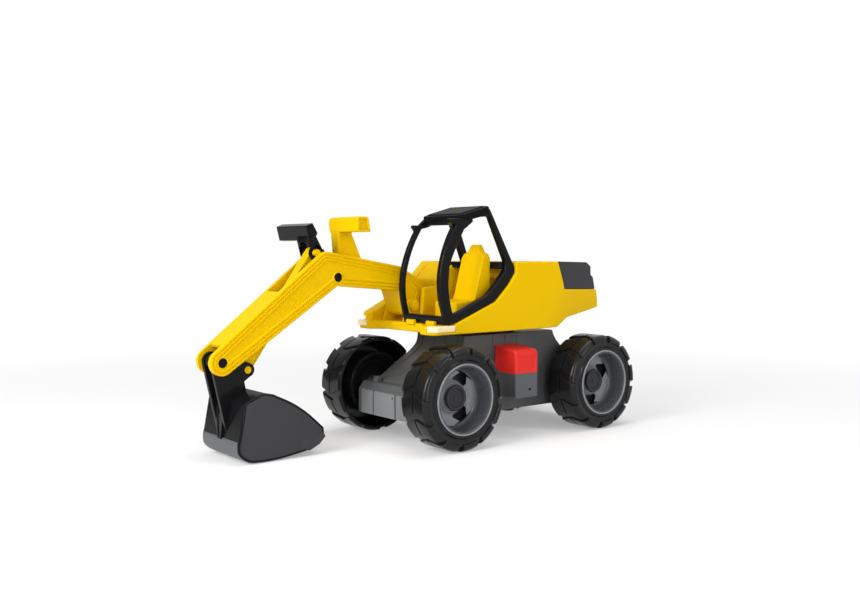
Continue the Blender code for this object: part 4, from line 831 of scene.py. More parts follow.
# The rim's grey painted lighter for its face, lip, hub and spokes: painted light where they face the lamps.
PAINTED_LIT_GREY = Finish(
    "rim face painted lit grey", "dark_grey", (0.205, 0.216, 0.228), 0.3, specular=0.45, mottle=0.06, grain=0.1
)
# The chassis grey painted lighter for the axle pads: painted light on the blocks' lit noses.
PAINTED_LIT_PAD_GREY = Finish(
    "axle pad painted lit grey", "dark_grey", (0.17, 0.18, 0.186), 0.36, specular=0.3, mottle=0.06, grain=0.3
)
CAP = Finish(
    "hub cap moulding", "dark_grey", (0.022, 0.022, 0.025), 0.3, specular=0.2, mottle=0.1, grain=0.3, edge=0.1
)
COVER = Finish(
    "cover moulding", "dark_grey", (0.026, 0.026, 0.029), 0.42, specular=0.14, mottle=0.08, grain=0.8,
    edge=0.08,
)
CHARCOAL = Finish(
    "bucket side moulding", "charcoal", (0.027, 0.027, 0.030), 0.45, specular=0.16, mottle=0.12, grain=0.9,
    edge=0.1,
)
SHELL = Finish(
    "bucket gloss moulding", "charcoal", (0.006, 0.006, 0.0067), 0.16, specular=0.12, mottle=0.12, grain=0.08
)
# A lighter grey for the heel strip: painted reflection of the floor; its scuffed roughness is wear.
SOLE_PAINTED_REFLECTION = Finish(
    "scuffed sole painted floor reflection", "charcoal", (0.078, 0.083, 0.09), 0.42, specular=0.25, mottle=0.1, grain=0.6,
    scuff=0.12, edge=0.1,
)
RED = Finish(
    "red moulding", "red", (0.7, 0.024, 0.019), 0.34, specular=0.16, mottle=0.04, grain=0.15, edge=0.06
)
CREAM = Finish(
    "cream moulding", "cream", (0.86, 0.72, 0.40), 0.26, specular=0.2, mottle=0.03, grain=0.1
)
STEEL = Finish(
    "drawn steel", "steel", (0.5, 0.5, 0.51), 0.34, metallic=1.0, mottle=0.08, stretch=(0.05, 1, 1)
)


@dataclass
class Studio:
    """The floor, the white surroundings, the lamps and the camera of the photograph."""

    floor_radius: float = 7.0
    floor_drop: float = 0.0004
    floor_colour: tuple[float, float, float, float] = (0.90, 0.90, 0.905, 1)
    shadow_lift: float = 0.3
    ambient: float = 0.44
    dim: float = 0.1
    bright_way: tuple[float, float, float] = (0.56, 0.74, 0.37)
    aim: tuple[float, float, float] = (0, 0, 0.15)
    sensor: float = 36
    lens: float = 39.80
    eye: tuple[float, float, float] = (1.2253, -0.9488, 0.3063)
    heading: tuple[float, float, float] = (-0.7838, 0.6183, -0.0579)

    def build(self) -> None:
        """Make the whole studio."""
        self.add_floor()
        self.add_surroundings()
        self.add_lamp("key", (0.35, -2.2, 1.3), (1.2, 1.2), 44)
        self.add_lamp("top", (0.2, 0.3, 2.3), (1.5, 1.5), 18)
        self.add_lamp("side", (2.3, 0.9, 1.2), (0.8, 0.8), 10)
        self.add_lamp("strip", (2.1, -1.0, 0.75), (0.12, 1.5), 12)
        self.add_lamp("front strip", (0.25, -2.4, 0.9), (0.14, 1.6), 10)
        self.add_camera()
        bpy.context.scene.view_settings.view_transform = "Standard"

    def add_floor(self) -> None:
        """A pale floor that takes the shadow near the object and is plain white farther away."""
        work = bmesh.new()
        bmesh.ops.create_circle(work, cap_ends=True, segments=LARGE_ROUND, radius=self.floor_radius)
        bmesh.ops.translate(work, verts=work.verts, vec=(0, 0, -self.floor_drop))
        mesh = bpy.data.meshes.new("studio_floor")
        work.to_mesh(mesh)
        work.free()
        floor = bpy.data.objects.new("studio_floor", mesh)
        bpy.context.scene.collection.objects.link(floor)
        paint = bpy.data.materials.new("studio floor paint")
        sheet = NodeSheet(paint)
        place = sheet.add("ShaderNodeTexCoord", out="Object")
        reach = sheet.add("ShaderNodeVectorMath", {"operation": "LENGTH"}, {0: place}, "Value")
        far = sheet.ramp(reach * 0.4, (0.16, 0), (0.62, 1))
        shown = sheet.add("ShaderNodeLightPath", out="Is Camera Ray")
        for ray in ("Is Glossy Ray", "Is Transmission Ray"):
            shown = shown + sheet.add("ShaderNodeLightPath", out=ray)
        share = far + (1 - far) * shown * self.shadow_lift
        matt = sheet.add("ShaderNodeBsdfDiffuse", None, {"Color": self.floor_colour})
        white = sheet.add("ShaderNodeEmission", None, {"Color": (1, 1, 1, 1), "Strength": 1.0})
        mixed = sheet.add("ShaderNodeMixShader", None, {0: share, 1: matt, 2: white})
        sheet.add("ShaderNodeOutputMaterial", None, {"Surface": mixed})
        mesh.materials.append(paint)

    def add_surroundings(self) -> None:
        """A white surround that reflections see as it is beyond the machine, dimmer on its front right."""
        world = bpy.data.worlds.new("studio")
        bpy.context.scene.world = world
        sheet = NodeSheet(world)
        seen = sheet.add("ShaderNodeLightPath", out="Is Camera Ray")
        glossy = sheet.add("ShaderNodeLightPath", out="Is Glossy Ray")
        through = sheet.add("ShaderNodeLightPath", out="Is Transmission Ray")
        way = sheet.add("ShaderNodeTexCoord", out="Generated")
        settings, sockets = {"operation": "DOT_PRODUCT"}, {0: way, 1: self.bright_way}
        facing = sheet.add("ShaderNodeVectorMath", settings, sockets, "Value")
        mirrored = sheet.ramp(facing * 0.5 + 0.5, (0.1, self.dim), (0.62, 1))
        shown = seen + through + glossy * mirrored
        level = sheet.add("ShaderNodeMath", {"operation": "MINIMUM"}, {0: shown, 1: 1.0})
        hidden = (1 - seen) * (1 - through) * (1 - glossy)
        strength = level + hidden * self.ambient
        light = sheet.add("ShaderNodeBackground", None, {"Color": (1, 1, 1, 1), "Strength": strength})
        sheet.add("ShaderNodeOutputWorld", None, {"Surface": light})

    def add_lamp(self, name: str, place: Sequence[float], size: Point, power: float) -> None:
        """A soft box that looks at the middle of the object.

        Args:
            name: Name of the lamp.
            place: Where it hangs.
            size: Its width and height in metres.
            power: Its power in watts.
        """
        lamp = bpy.data.lights.new(name, "AREA")
        lamp.shape = "RECTANGLE"
        lamp.size, lamp.size_y = size
        lamp.energy = power
        made = bpy.data.objects.new(name, lamp)
        made.location = place
        towards = Vector(self.aim) - Vector(place)
        made.rotation_euler = towards.to_track_quat("-Z", "Y").to_euler()
        bpy.context.scene.collection.objects.link(made)

    def add_camera(self) -> None:
        """The camera of the photograph."""
        lens = bpy.data.cameras.new("camera")
        lens.sensor_width = self.sensor
        lens.lens = self.lens
        made = bpy.data.objects.new("camera", lens)
        made.location = self.eye
        made.rotation_euler = Vector(self.heading).to_track_quat("-Z", "Y").to_euler()
        bpy.context.scene.collection.objects.link(made)
        bpy.context.scene.camera = made


@dataclass
class Wheel:
    """A wheel about the X axis with its outside at +X: a hollow tyre, a dished rim and a hub cap."""

    end: str
    side: str
    rim_turn: float
    radius: float = AXLE[1]
    track: float = 114
    axle_y: float = AXLE[0]
    casing: float = 77.3
    wall: float = 3.6
    face: float = 28.5
    bead: float = 55.3
    pitches: int = 12
    pad_arc: float = 22
    pad_slant: float = 0.0052
    spokes: int = 3
    spoke_arc: float = 67

    def build(self) -> None:
        """Make the tyre, the black wall behind the spokes painted as shade, the rim, its face painted lighter
        as painted light, and the cap.
        """
        body = f"wheel_{self.end}_{self.side}"
        label = f"{self.end}_{self.side}"
        self.placed(self.tyre()).piece(f"{label}_tyre_moulding", body, TYRE, f"tyre_{label}")
        self.placed(self.rim()).piece(f"{label}_rim_moulding", body, RIM, f"rim_{label}", crease=28)
        self.placed(self.wheel_face()).piece(f"{label}_rim_face_painted_lit", body, PAINTED_LIT_GREY, crease=28)
        self.placed(self.cap()).piece(f"{label}_cap_moulding", body, CAP, f"hub_cap_{label}", crease=28)
        # A black wall behind the spokes, painted shade for the dark inside of the wheel.
        self.placed(self.painted_shade_wall()).piece(f"{label}_painted_shade_wall", body, TYRE, crease=28)

    def placed(self, shape: Shape) -> Shape:
        """Bring a shape to its corner of the machine.

        Args:
            shape: A shape about the X axis.

        Returns:
            The shape.
        """
        out = 1 if self.side == "left" else -1
        ahead = -1 if self.end == "front" else 1
        turn = Matrix.Rotation(0 if out > 0 else math.pi, 4, "Z")
        return shape.moved(Matrix.Translation((out * self.track, ahead * self.axle_y, self.radius)) @ turn)

    def tyre(self) -> Shape:
        """The hollow casing with its tread pads.

        Returns:
            The tyre.
        """
        face, casing, bead = self.face, self.casing, self.bead
        outside = [(-face, casing - 2.6), (-face + 0.8, casing - 0.9), (-face + 2.6, casing), (16, casing)]
        outside += [(20, casing - 0.8), (23.6, casing - 2.8), (26.2, casing - 6), (27.4, casing - 9.5)]
        outside += [(27, casing - 11.6), (26.2, 64.2), (26.2, 60.6), (27.2, 59.5), (28.2, 58.6), (28.5, 57.4)]
        outside += [(28.3, 56), (27.6, bead)]
        inner = casing - self.wall
        inside = [(25.5, bead), (25.5, 64), (23.6, 69), (18, inner), (-face + 3.5, inner)]
        inside += [(-face + 3, inner - 1.2), (-face + 1, inner - 1.2), (-face, inner)]
        tyre = Shape.spun(outside + inside, LARGE_ROUND)
        pitch = 2 * math.pi / self.pitches
        for step in range(self.pitches):
            for outer in (True, False):
                tyre.add(self.pad(outer).moved(Matrix.Rotation(pitch * step, 4, "X")))
        return tyre

    def painted_shade_wall(self) -> Shape:
        """A black wall that closes the wheel behind its spokes and wraps the barrel's inner end: painted
        shade for the dark inside of the wheel.

        Returns:
            The wall.
        """
        profile = [(-9.4, 12.9), (-9.4, 44), (-9.4, 48.4), (-24.7, 48.4), (-24.7, 52.3), (20, 52.3), (20, 53)]
        profile += [(-25, 53), (-25.8, 52.4), (-26, 51.4), (-26, 48.8), (-25.6, 47.8), (-24.6, 47.4)]
        profile += [(-13.4, 47), (-12.2, 45.6), (-12.2, 38.4), (-13.6, 37.6), (-13.6, 35), (-12.2, 34.2)]
        profile += [(-12.2, 12.9)]
        return Shape.spun(profile, MIDDLE_ROUND)

    def pad(self, outer: bool) -> Shape:
        """One slanted tread pad at the top of the wheel.

        Args:
            outer: Whether it is on the outside, where it steps down onto the sidewall.

        Returns:
            The pad.
        """
        radius, sunk = self.radius, self.casing - 2
        if outer:
            section = [(1.2, radius), (22.5, radius), (25.8, radius - 1.4), (28.8, radius - 4.4)]
            section += [(30, radius - 7.4), (30, radius - 11.4), (27, radius - 12.6), (25, sunk - 3)]
            section += [(20, sunk), (1.2, sunk)]
        else:
            section = [(-1.2, sunk), (-27, sunk), (-29.6, sunk - 0.4), (-30, radius - 3.4)]
            section += [(-28.4, radius - 1.2), (-26, radius - 0.2), (-25, radius), (-1.2, radius)]
        pad = Shape.spun(section, 8, arc_degrees=self.pad_arc)
        pad.moved(Matrix.Rotation(math.radians(-self.pad_arc / 2), 4, "X"))
        return pad.bevel(0.7, 2, 40).twisted(self.pad_slant)

    def rim(self) -> Shape:
        """The dished rim: a barrel with a double lip, and the hub's tube.

        Returns:
            The rim.
        """
        barrel = [(29.2, 54.9), (29.9, 54.3), (30, 53.5), (29.7, 52.8), (28.7, 52.3), (28.3, 51.6)]
        barrel += [(28.8, 51), (29.1, 50.4), (28.8, 49.8), (27.6, 49.4), (20, 49), (12, 48.5), (6.5, 47.6)]
        barrel += [(3, 46.2), (0.9, 44.4), (-0.4, 42.4), (-3.4, 42.4), (-2.6, 48.6), (-24.5, 48.9)]
        barrel += [(-24.5, 52), (22.2, 52), (22.2, 60), (25.2, 60), (25.2, 54.9)]
        tube = [(-7.7, 5.5), (-32.4, 5.5), (-32.4, 12.5), (-7.7, 12.5)]
        return Shape.spun(barrel, LARGE_ROUND).add(Shape.spun(tube, SMALL_ROUND))

    def wheel_face(self) -> Shape:
        """The face of the rim: its lip, the hub and the broad spokes, in a lighter grey than the rim as
        painted light.

        Returns:
            The face.
        """
        lip = [(29.3, 54.95), (29.95, 54.4), (30, 53.5), (29.8, 52.6), (28.8, 52.2), (28.6, 53.4)]
        lip += [(28.6, 54.95)]
        face = Shape.spun(lip, LARGE_ROUND)
        hub = [(-5.2, 26.6), (-4.4, 25.8), (-2.6, 24.4), (-1, 23.4), (-0.4, 22.6), (-0.4, 21.4), (-1.4, 20.8)]
        hub += [(-2.6, 20.6), (-2.6, 16.8), (-3.5, 16.8), (-3.5, 5.5), (-7.6, 5.5), (-7.6, 26.6)]
        face.add(Shape.spun(hub, MIDDLE_ROUND))
        for step in range(self.spokes):
            middle = 360 / self.spokes * step + self.rim_turn
            face.add(self.spoke().moved(Matrix.Rotation(math.radians(middle), 4, "X")))
        return face

    def spoke(self) -> Shape:
        """One broad spoke with a raised panel, on the rim's +Y side.

        Returns:
            The spoke.
        """
        section = [(-4.2, 24.6), (-3.9, 31), (-2.2, 38), (0.6, 44.6), (-2.4, 44.6), (-7.2, 24.6)]
        spoke = Shape.spun(section, 20, arc_degrees=self.spoke_arc)
        spoke.moved(Matrix.Rotation(math.radians(-90 - self.spoke_arc / 2), 4, "X"))
        return spoke.bevel(1.1, 3, 40).panel((1, 0, 0), 2.2, 1.6, 0.9, 0.9)

    def cap(self) -> Shape:
        """The hub cap: a raised ring round a sunk face with a small boss.

        Returns:
            The cap.
        """
        profile = [(6.2, 0), (6.2, 2.6), (5.8, 3.4), (4.9, 3.8), (4.7, 5), (4.7, 12.6), (5.1, 13.6)]
        profile += [(6.4, 14.4), (7.2, 15.4), (7.5, 16.4), (7.5, 17.4), (7.2, 18.7), (6.3, 19.6), (5.2, 20)]
        profile += [(4.3, 20), (4.3, 16.4), (0, 16.4), (0, 13.3), (4.2, 13.3), (4.2, 0)]
        return Shape.spun(profile, MIDDLE_ROUND, closed=False)


@dataclass
class Undercarriage:
    """The dark grey chassis with its axle blocks and pedestal, and the red boxes at its sides."""

    bottom: float = 38
    block_half: float = 76
    nose: float = 205
    block_length: float = 95
    block_top: float = 90
    nose_height: float = 39
    chamfer: float = 12
    pedestal_half: float = 62
    slope: tuple[Point, ...] = (
        (177, 92), (155, 105.5), (131, 121.5), (110, 134), (95, 147), (91, 158), (90, 167)
    )
    rear_slope: tuple[Point, ...] = (
        (177, 92), (165, 105), (150, 121), (134, 137), (122, 149), (115, 159), (112, 167)
    )
    slope_wall: Point = (4.5, 4)
    side_ribs: tuple[float, ...] = (-27, 0, 27)
    side_rib_rise: Point = (98, 164)
    slope_ribs: tuple[float, ...] = (-44, -15, 15, 44)
    peg_place: float = 46
    boss_radius: float = 11
    pad_spans: tuple[Point, ...] = ((-64, -31.5), (-28.5, 28.5), (31.5, 64))
    axle_y: float = AXLE[0]
    axle_z: float = AXLE[1]
    box_reach: float = 114
    box_half: float = 25
    box_bottom: float = 65
    box_seam: float = 105
    box_top: float = 143
    box_wall: float = 3
    wall: float = 3.2
    vent: Point = (7, 78)
    vent_radius: float = 2.5

    def build(self) -> None:
        """Make the chassis, its pads, the brackets and the boxes."""
        self.chassis().piece("chassis_moulding", "undercarriage", GREY, "chassis_body")
        for end, sign in (("front", -1), ("rear", 1)):
            self.nose_pads(sign).piece(f"{end}_axle_pads", "undercarriage", PAINTED_LIT_PAD_GREY)
        for side in ("left", "right"):
            bracket, box = self.bracket(), self.box()
            if side == "right":
                bracket.mirrored()
                box.mirrored()
            bracket.piece(f"{side}_bracket_moulding", "undercarriage", GREY, f"side_bracket_{side}")
            box.piece(f"{side}_box_moulding", "undercarriage", RED, f"toolbox_{side}")

    def chassis(self) -> Shape:
        """The hollow pedestal and the two axle blocks, with their ribs, pegs and bosses.

        Returns:
            The chassis.
        """
        half, low = self.pedestal_half, self.bottom
        inward, down = self.slope_wall
        outer, inner = [], []
        for slope in (self.rear_slope, self.slope):
            outer.append([(slope[0][0], low), *smooth(slope, 4)])
            inner.append([(slope[0][0] - inward, low - OVERCUT), *((y - inward, z - down) for y, z in slope)])
        body = Shape.plate(View.SIDE, outer[0] + flipped(reversed(outer[1]), -1), -half, half)
        body.bevel(2.2, 2, 45)
        room = half - self.wall
        body.cut(Shape.plate(View.SIDE, inner[0] + flipped(reversed(inner[1]), -1), -room, room))
        for sign in (1, -1):
            body.add(*self.axle_block(sign))
        foot, head = self.side_rib_rise
        for y in self.side_ribs:
            for side in (1, -1):
                rib = Shape.block((side * (half - 1), y - 1.4, foot), (side * (half + 1.3), y + 1.4, head))
                body.add(rib.bevel(0.6, 2))
        for sign in (1, -1):
            for x in self.slope_ribs:
                body.add(self.slope_rib(sign, x))
        return body

    def slope_rib(self, sign: int, x: float) -> Shape:
        """A rib down the sloped end of the pedestal.

        Args:
            sign: 1 for the rear end, -1 for the front end.
            x: Middle of the rib.

        Returns:
            The rib.
        """
        run = smooth(self.rear_slope if sign > 0 else self.slope, 4)[3:-1]
        line = offset(run, -1.3) + list(reversed(offset(run, 2)))
        return Shape.plate(View.SIDE, flipped(line, sign), x - 1.6, x + 1.6).bevel(0.7, 2)

    def axle_block(self, sign: int) -> list[Shape]:
        """One axle block with a stepped nose, pegs on top and a boss for each wheel.

        Args:
            sign: 1 for the rear block, -1 for the front one.

        Returns:
            The shapes of the block.
        """
        low, top = self.bottom, self.block_top
        back = self.nose - self.block_length
        shoulder = low + self.nose_height
        nose, room = self.nose, self.block_half - self.wall
        line = [(nose - 2, low), (nose - 2, shoulder), (nose - self.chamfer, top), (back, top), (back, low)]
        block = Shape.plate(View.SIDE, flipped(line, sign), -self.block_half, self.block_half).bevel(3, 3)
        inner = [(nose - 5.5, low - OVERCUT), (nose - 5.5, shoulder - 2), (nose - 14, top - self.wall)]
        inner += [(back + self.wall, top - self.wall), (back + self.wall, low - OVERCUT)]
        block.cut(Shape.plate(View.SIDE, flipped(inner, sign), -room, room))
        shapes = [block]
        peg = [(nose - 26, top - 1), (nose - 14, top - 1), (nose - 17, top + 9), (nose - 26, top + 9)]
        for x in (-self.peg_place, self.peg_place):
            shapes.append(Shape.plate(View.SIDE, flipped(peg, sign), x - 6, x + 6).bevel(1.6, 2))
        for side in (1, -1):
            ends = (side * (self.block_half - 1), side * (self.block_half + 5))
            place = (sign * self.axle_y, self.axle_z)
            boss = Shape.cross_bar(self.boss_radius, *ends, place, SMALL_ROUND)
            shapes.append(boss.bevel(0.9, 2, 60))
        return shapes

    def nose_pads(self, sign: int) -> Shape:
        """The three pads on the nose of an axle block, the middle one with a small hole, painted lighter than
        the chassis as painted light.

        Args:
            sign: 1 for the rear block, -1 for the front one.

        Returns:
            The pads.
        """
        low, shoulder, nose = self.bottom, self.bottom + self.nose_height, self.nose
        line = [(nose - 2, low + 1), (nose, low + 1), (nose, shoulder - 1), (nose - 2, shoulder + 1.5)]
        pads = Shape()
        for x_low, x_high in self.pad_spans:
            pad = Shape.plate(View.SIDE, flipped(line, sign), x_low, x_high).bevel(0.8, 2)
            if x_low < 0 < x_high:
                place = (23, sign * (nose + 1), shoulder - 5)
                pad.cut(Shape.bar(2.2, place, (23, sign * (nose - 8), shoulder - 5), 20))
            pads.add(pad)
        return pads

    def bracket(self) -> Shape:
        """The grey bracket on the left, a hollow box with a small vent.

        Returns:
            The bracket.
        """
        inner, top = self.pedestal_half + 0.3, self.box_seam - 0.3
        half, bottom, reach, wall = self.box_half, self.box_bottom, self.box_reach, self.box_wall
        bracket = Shape.block((inner, -half, bottom), (reach, half, top))
        bracket.bevel(2.2, 3, where=lambda edge: min(v.co.z for v in edge.verts) < top - 1)
        low, high = (inner + wall, -half + wall, bottom + wall), (reach - wall, half - wall, top + OVERCUT)
        bracket.cut(Shape.block(low, high))
        return bracket.cut(Shape.cross_bar(self.vent_radius, reach - 8, reach + OVERCUT, self.vent, 24))

    def box(self) -> Shape:
        """The red box on the left: a crowned lid over slightly sunk sides.

        Returns:
            The box.
        """
        inner, seam, top, reach = self.pedestal_half + 0.3, self.box_seam, self.box_top, self.box_reach
        crown = [(inner, seam), (reach, seam), (reach, top - 5), (reach - 5, top), (inner, top + 6)]
        box = Shape.plate(View.FRONT, crown, -self.box_half, self.box_half)
        box.bevel(2.6, 4, where=lambda edge: max(v.co.z for v in edge.verts) > seam + 1)
        for way in ((0, 1, 0), (0, -1, 0), (1, 0, 0)):
            box.panel(way, 3.4, 0.8, -0.5)
        return box


@dataclass
class UpperBody:
    """The yellow deck, hood, bay and flank in one moulding, with the lamps and the engine cover."""

    deck_half: float = 103
    deck_front: float = -187
    deck_low: float = 175
    deck_top: float = 189
    deck_rear: float = 85
    kick: Point = (112, 190)
    tail_end: float = 200
    tail_low: float = 204
    tail_half: float = 84
    house_top: float = 286
    house_front: float = -14
    engine_front: float = 83
    engine_seam: float = 239
    engine_slant: float = 17
    hood_inner: float = -77
    bay_back: float = -82
    cab_right: float = CAB_RIGHT
    recess: float = 24
    horn: float = 32
    corner: float = 9
    lamp_front: float = 16
    right_lamp_front: float = 29
    root: Point = ROOT_PIN
    root_ear: float = 13
    ear_spans: tuple[Point, ...] = ((-16.4, -11.8), (-72.2, -67.6))
    tab_places: Point = (18, 69)
    taper_start: Point = (76, 205)
    taper_lean: float = 0.42
    slot_half: float = 52
    edge_round: float = 2.2

    def build(self) -> None:
        """Make the moulding, the lamps and the cover."""
        self.moulding().piece("upper_body_moulding", "upper_body", YELLOW, "deck", "house_shell")
        for side, sign in (("left", 1), ("right", -1)):
            self.lamp(sign).piece(f"{side}_lamp_lens", "upper_body", CREAM, f"front_lamp_{side}")
        self.cover().piece("engine_cover_moulding", "upper_body", COVER, "engine_cover")

    def underside(self) -> list[Point]:
        """The lower edge from the tail to the front, with the back of the tail.

        Returns:
            The points of the edge.
        """
        front, seam = self.engine_front, self.engine_seam
        line = [(front, self.house_top), (front + self.engine_slant, seam)]
        line += [(self.tail_end - 4, seam - 3), (self.tail_end + 2, self.tail_low + 10)]
        line += [(self.tail_end + 2.5, self.tail_low)]
        return line + [self.kick, (self.deck_rear, self.deck_low), (self.deck_front, self.deck_low)]

    def moulding(self) -> Shape:
        """Deck and house in one: three side plates joined, then hollowed and trimmed.

        Returns:
            The moulding.
        """
        rear, front, top = self.underside(), self.deck_front, self.deck_top
        hood = [(front, top), (-174, top), (-174, 201), (-131, 222), (-80, 256), (-49, self.house_top)]
        bay = [(front, top), (self.bay_back, top), (self.bay_back, 256), (-49, self.house_top)]
        flank = [(front, top), (-147, top), (-58, 222.6), (-28.8, 248.8), (-13.5, 268)]
        flank += [(self.house_front, self.house_top)]
        body = Shape.plate(View.SIDE, hood + rear, -self.deck_half, self.hood_inner)
        body.join(Shape.plate(View.SIDE, bay + rear, self.hood_inner - 2, self.cab_right + 2))
        body.join(Shape.plate(View.SIDE, flank + rear, self.cab_right, self.deck_half))
        body.cut(Shape.block((self.cab_right + 9, -130, 193.3), (88, -20, 300)))
        body.cut(Shape.block((self.cab_right - 6, -170, 202), (self.cab_right + 15, self.bay_back, 300)))
        body.cut(self.plan_trim(), *self.tapers(0))
        body.cleaned().bevel(self.edge_round, 3, 24)
        for sign in (1, -1):
            body.cut(self.lamp_pocket(sign))
        for low, high in self.ear_spans:
            ear = arc(self.root, self.root_ear, 0, 180, 24) + [(-156.8, top - 2), (-115.2, top - 2)]
            body.add(Shape.plate(View.SIDE, ear, low, high).bevel(0.9, 2, 40))
        console = [(-127.5, top), (-123, 241), (-119, 244.5), (-84, 246.5), (-80, top)]
        body.add(Shape.plate(View.SIDE, console, self.cab_right + 1, self.cab_right + 9.4).bevel(1.8, 3, 40))
        for x in self.tab_places:
            body.add(Shape.block((x - 10, -167, top - 2), (x + 10, -160.5, top + 6)).bevel(1.3, 2))
        return body

    def plan_trim(self) -> Shape:
        """What is cut from the front in plan: the recess and the two corners.

        Returns:
            The cutter.
        """
        edge, front = self.deck_half, self.deck_front
        horn = edge - self.horn
        half = [(edge + 9, front - 9), (edge + 9, front + self.corner + 9), (edge - self.corner, front)]
        half += [(horn, front), (horn - self.recess, front + self.recess)]
        outline = half + flipped(reversed(half), -1)
        return Shape.plate(View.TOP, outline, self.deck_low - OVERCUT, self.house_top + OVERCUT)

    def tapers(self, inset: float) -> list[Shape]:
        """The wedges that narrow the tail; their crease leans forward as it goes down.

        Args:
            inset: How far inside the house's sides they start.

        Returns:
            The two wedges.
        """
        shapes = []
        edge = self.deck_half - inset
        slope = (self.deck_half - self.tail_half) / (self.tail_end - self.taper_start[0])
        lean = Matrix.Translation((0, *self.taper_start)) @ leaning(1, self.taper_lean)
        wedge = [(edge + 10 * slope, -10), (edge + 40, -10), (edge + 40, 180), (edge - 180 * slope, 180)]
        for sign in (1, -1):
            shapes.append(Shape.plate(View.TOP, flipped(wedge, sign), -60, 120).moved(lean))
        return shapes

    def lamp_line(self, sign: int, clear: float) -> list[Point]:
        """The plan of a corner lamp, or with clearance of its pocket.

        Args:
            sign: 1 for the left side, -1 for the right side.
            clear: The clearance, 0 for the lamp itself.

        Returns:
            The points of the plan.
        """
        edge, front = self.deck_half, self.deck_front
        wide, corner = self.lamp_front, self.corner
        if sign < 0:
            wide, corner = self.right_lamp_front, self.corner / 3
        inner, back, tail, foot = edge - 7 - clear, front + 7 + clear, front + 45 + clear, edge - wide - clear
        bend = self.corner / 2
        line = [(edge, tail), (inner, tail), (inner, back + bend), (inner - bend, back), (foot, back)]
        if clear:
            line[0] = (edge + 8, tail)
            line += [(foot, front - 8), (edge + 8, front - 8)]
        else:
            line += [(foot, front), (edge - corner, front), (edge, front + corner)]
        return flipped(line, sign)

    def lamp_pocket(self, sign: int) -> Shape:
        """The pocket of a corner lamp."""
        return Shape.plate(View.TOP, self.lamp_line(sign, 0.3), self.deck_low + 3.7, self.deck_top + 6)

    def lamp(self, sign: int) -> Shape:
        """The corner lamp on the left (1) or on the right (-1)."""
        lamp = Shape.plate(View.TOP, self.lamp_line(sign, 0), self.deck_low + 4, self.deck_top)
        return lamp.bevel(1.6, 3, 24)

    def cover(self) -> Shape:
        """The engine cover: a stepped shell with cooling slots across its back.

        Returns:
            The cover.
        """
        front, seam, end = self.engine_front + 0.6, self.engine_seam, self.tail_end - 6
        line = [(front, self.house_top), (front + self.engine_slant, seam + 0.3), (end, seam - 2.7)]
        line += [(end - 8, 258), (end - 15, 262), (end - 17, 277), (end - 30, self.house_top - 2)]
        half, wide = self.deck_half - 2, self.slot_half
        cover = Shape.plate(View.SIDE, line, -half, half)
        cover.cut(*self.tapers(2)).cleaned()
        for y in range(118, 158, 8):
            cover.cut(Shape.block((-wide, y, self.house_top - 5), (wide, y + 3.4, self.house_top + 6)))
        return cover.bevel(
            1.6, 3, 24, where=lambda edge: not all(abs(v.co.x) < wide + 1 for v in edge.verts)
        )


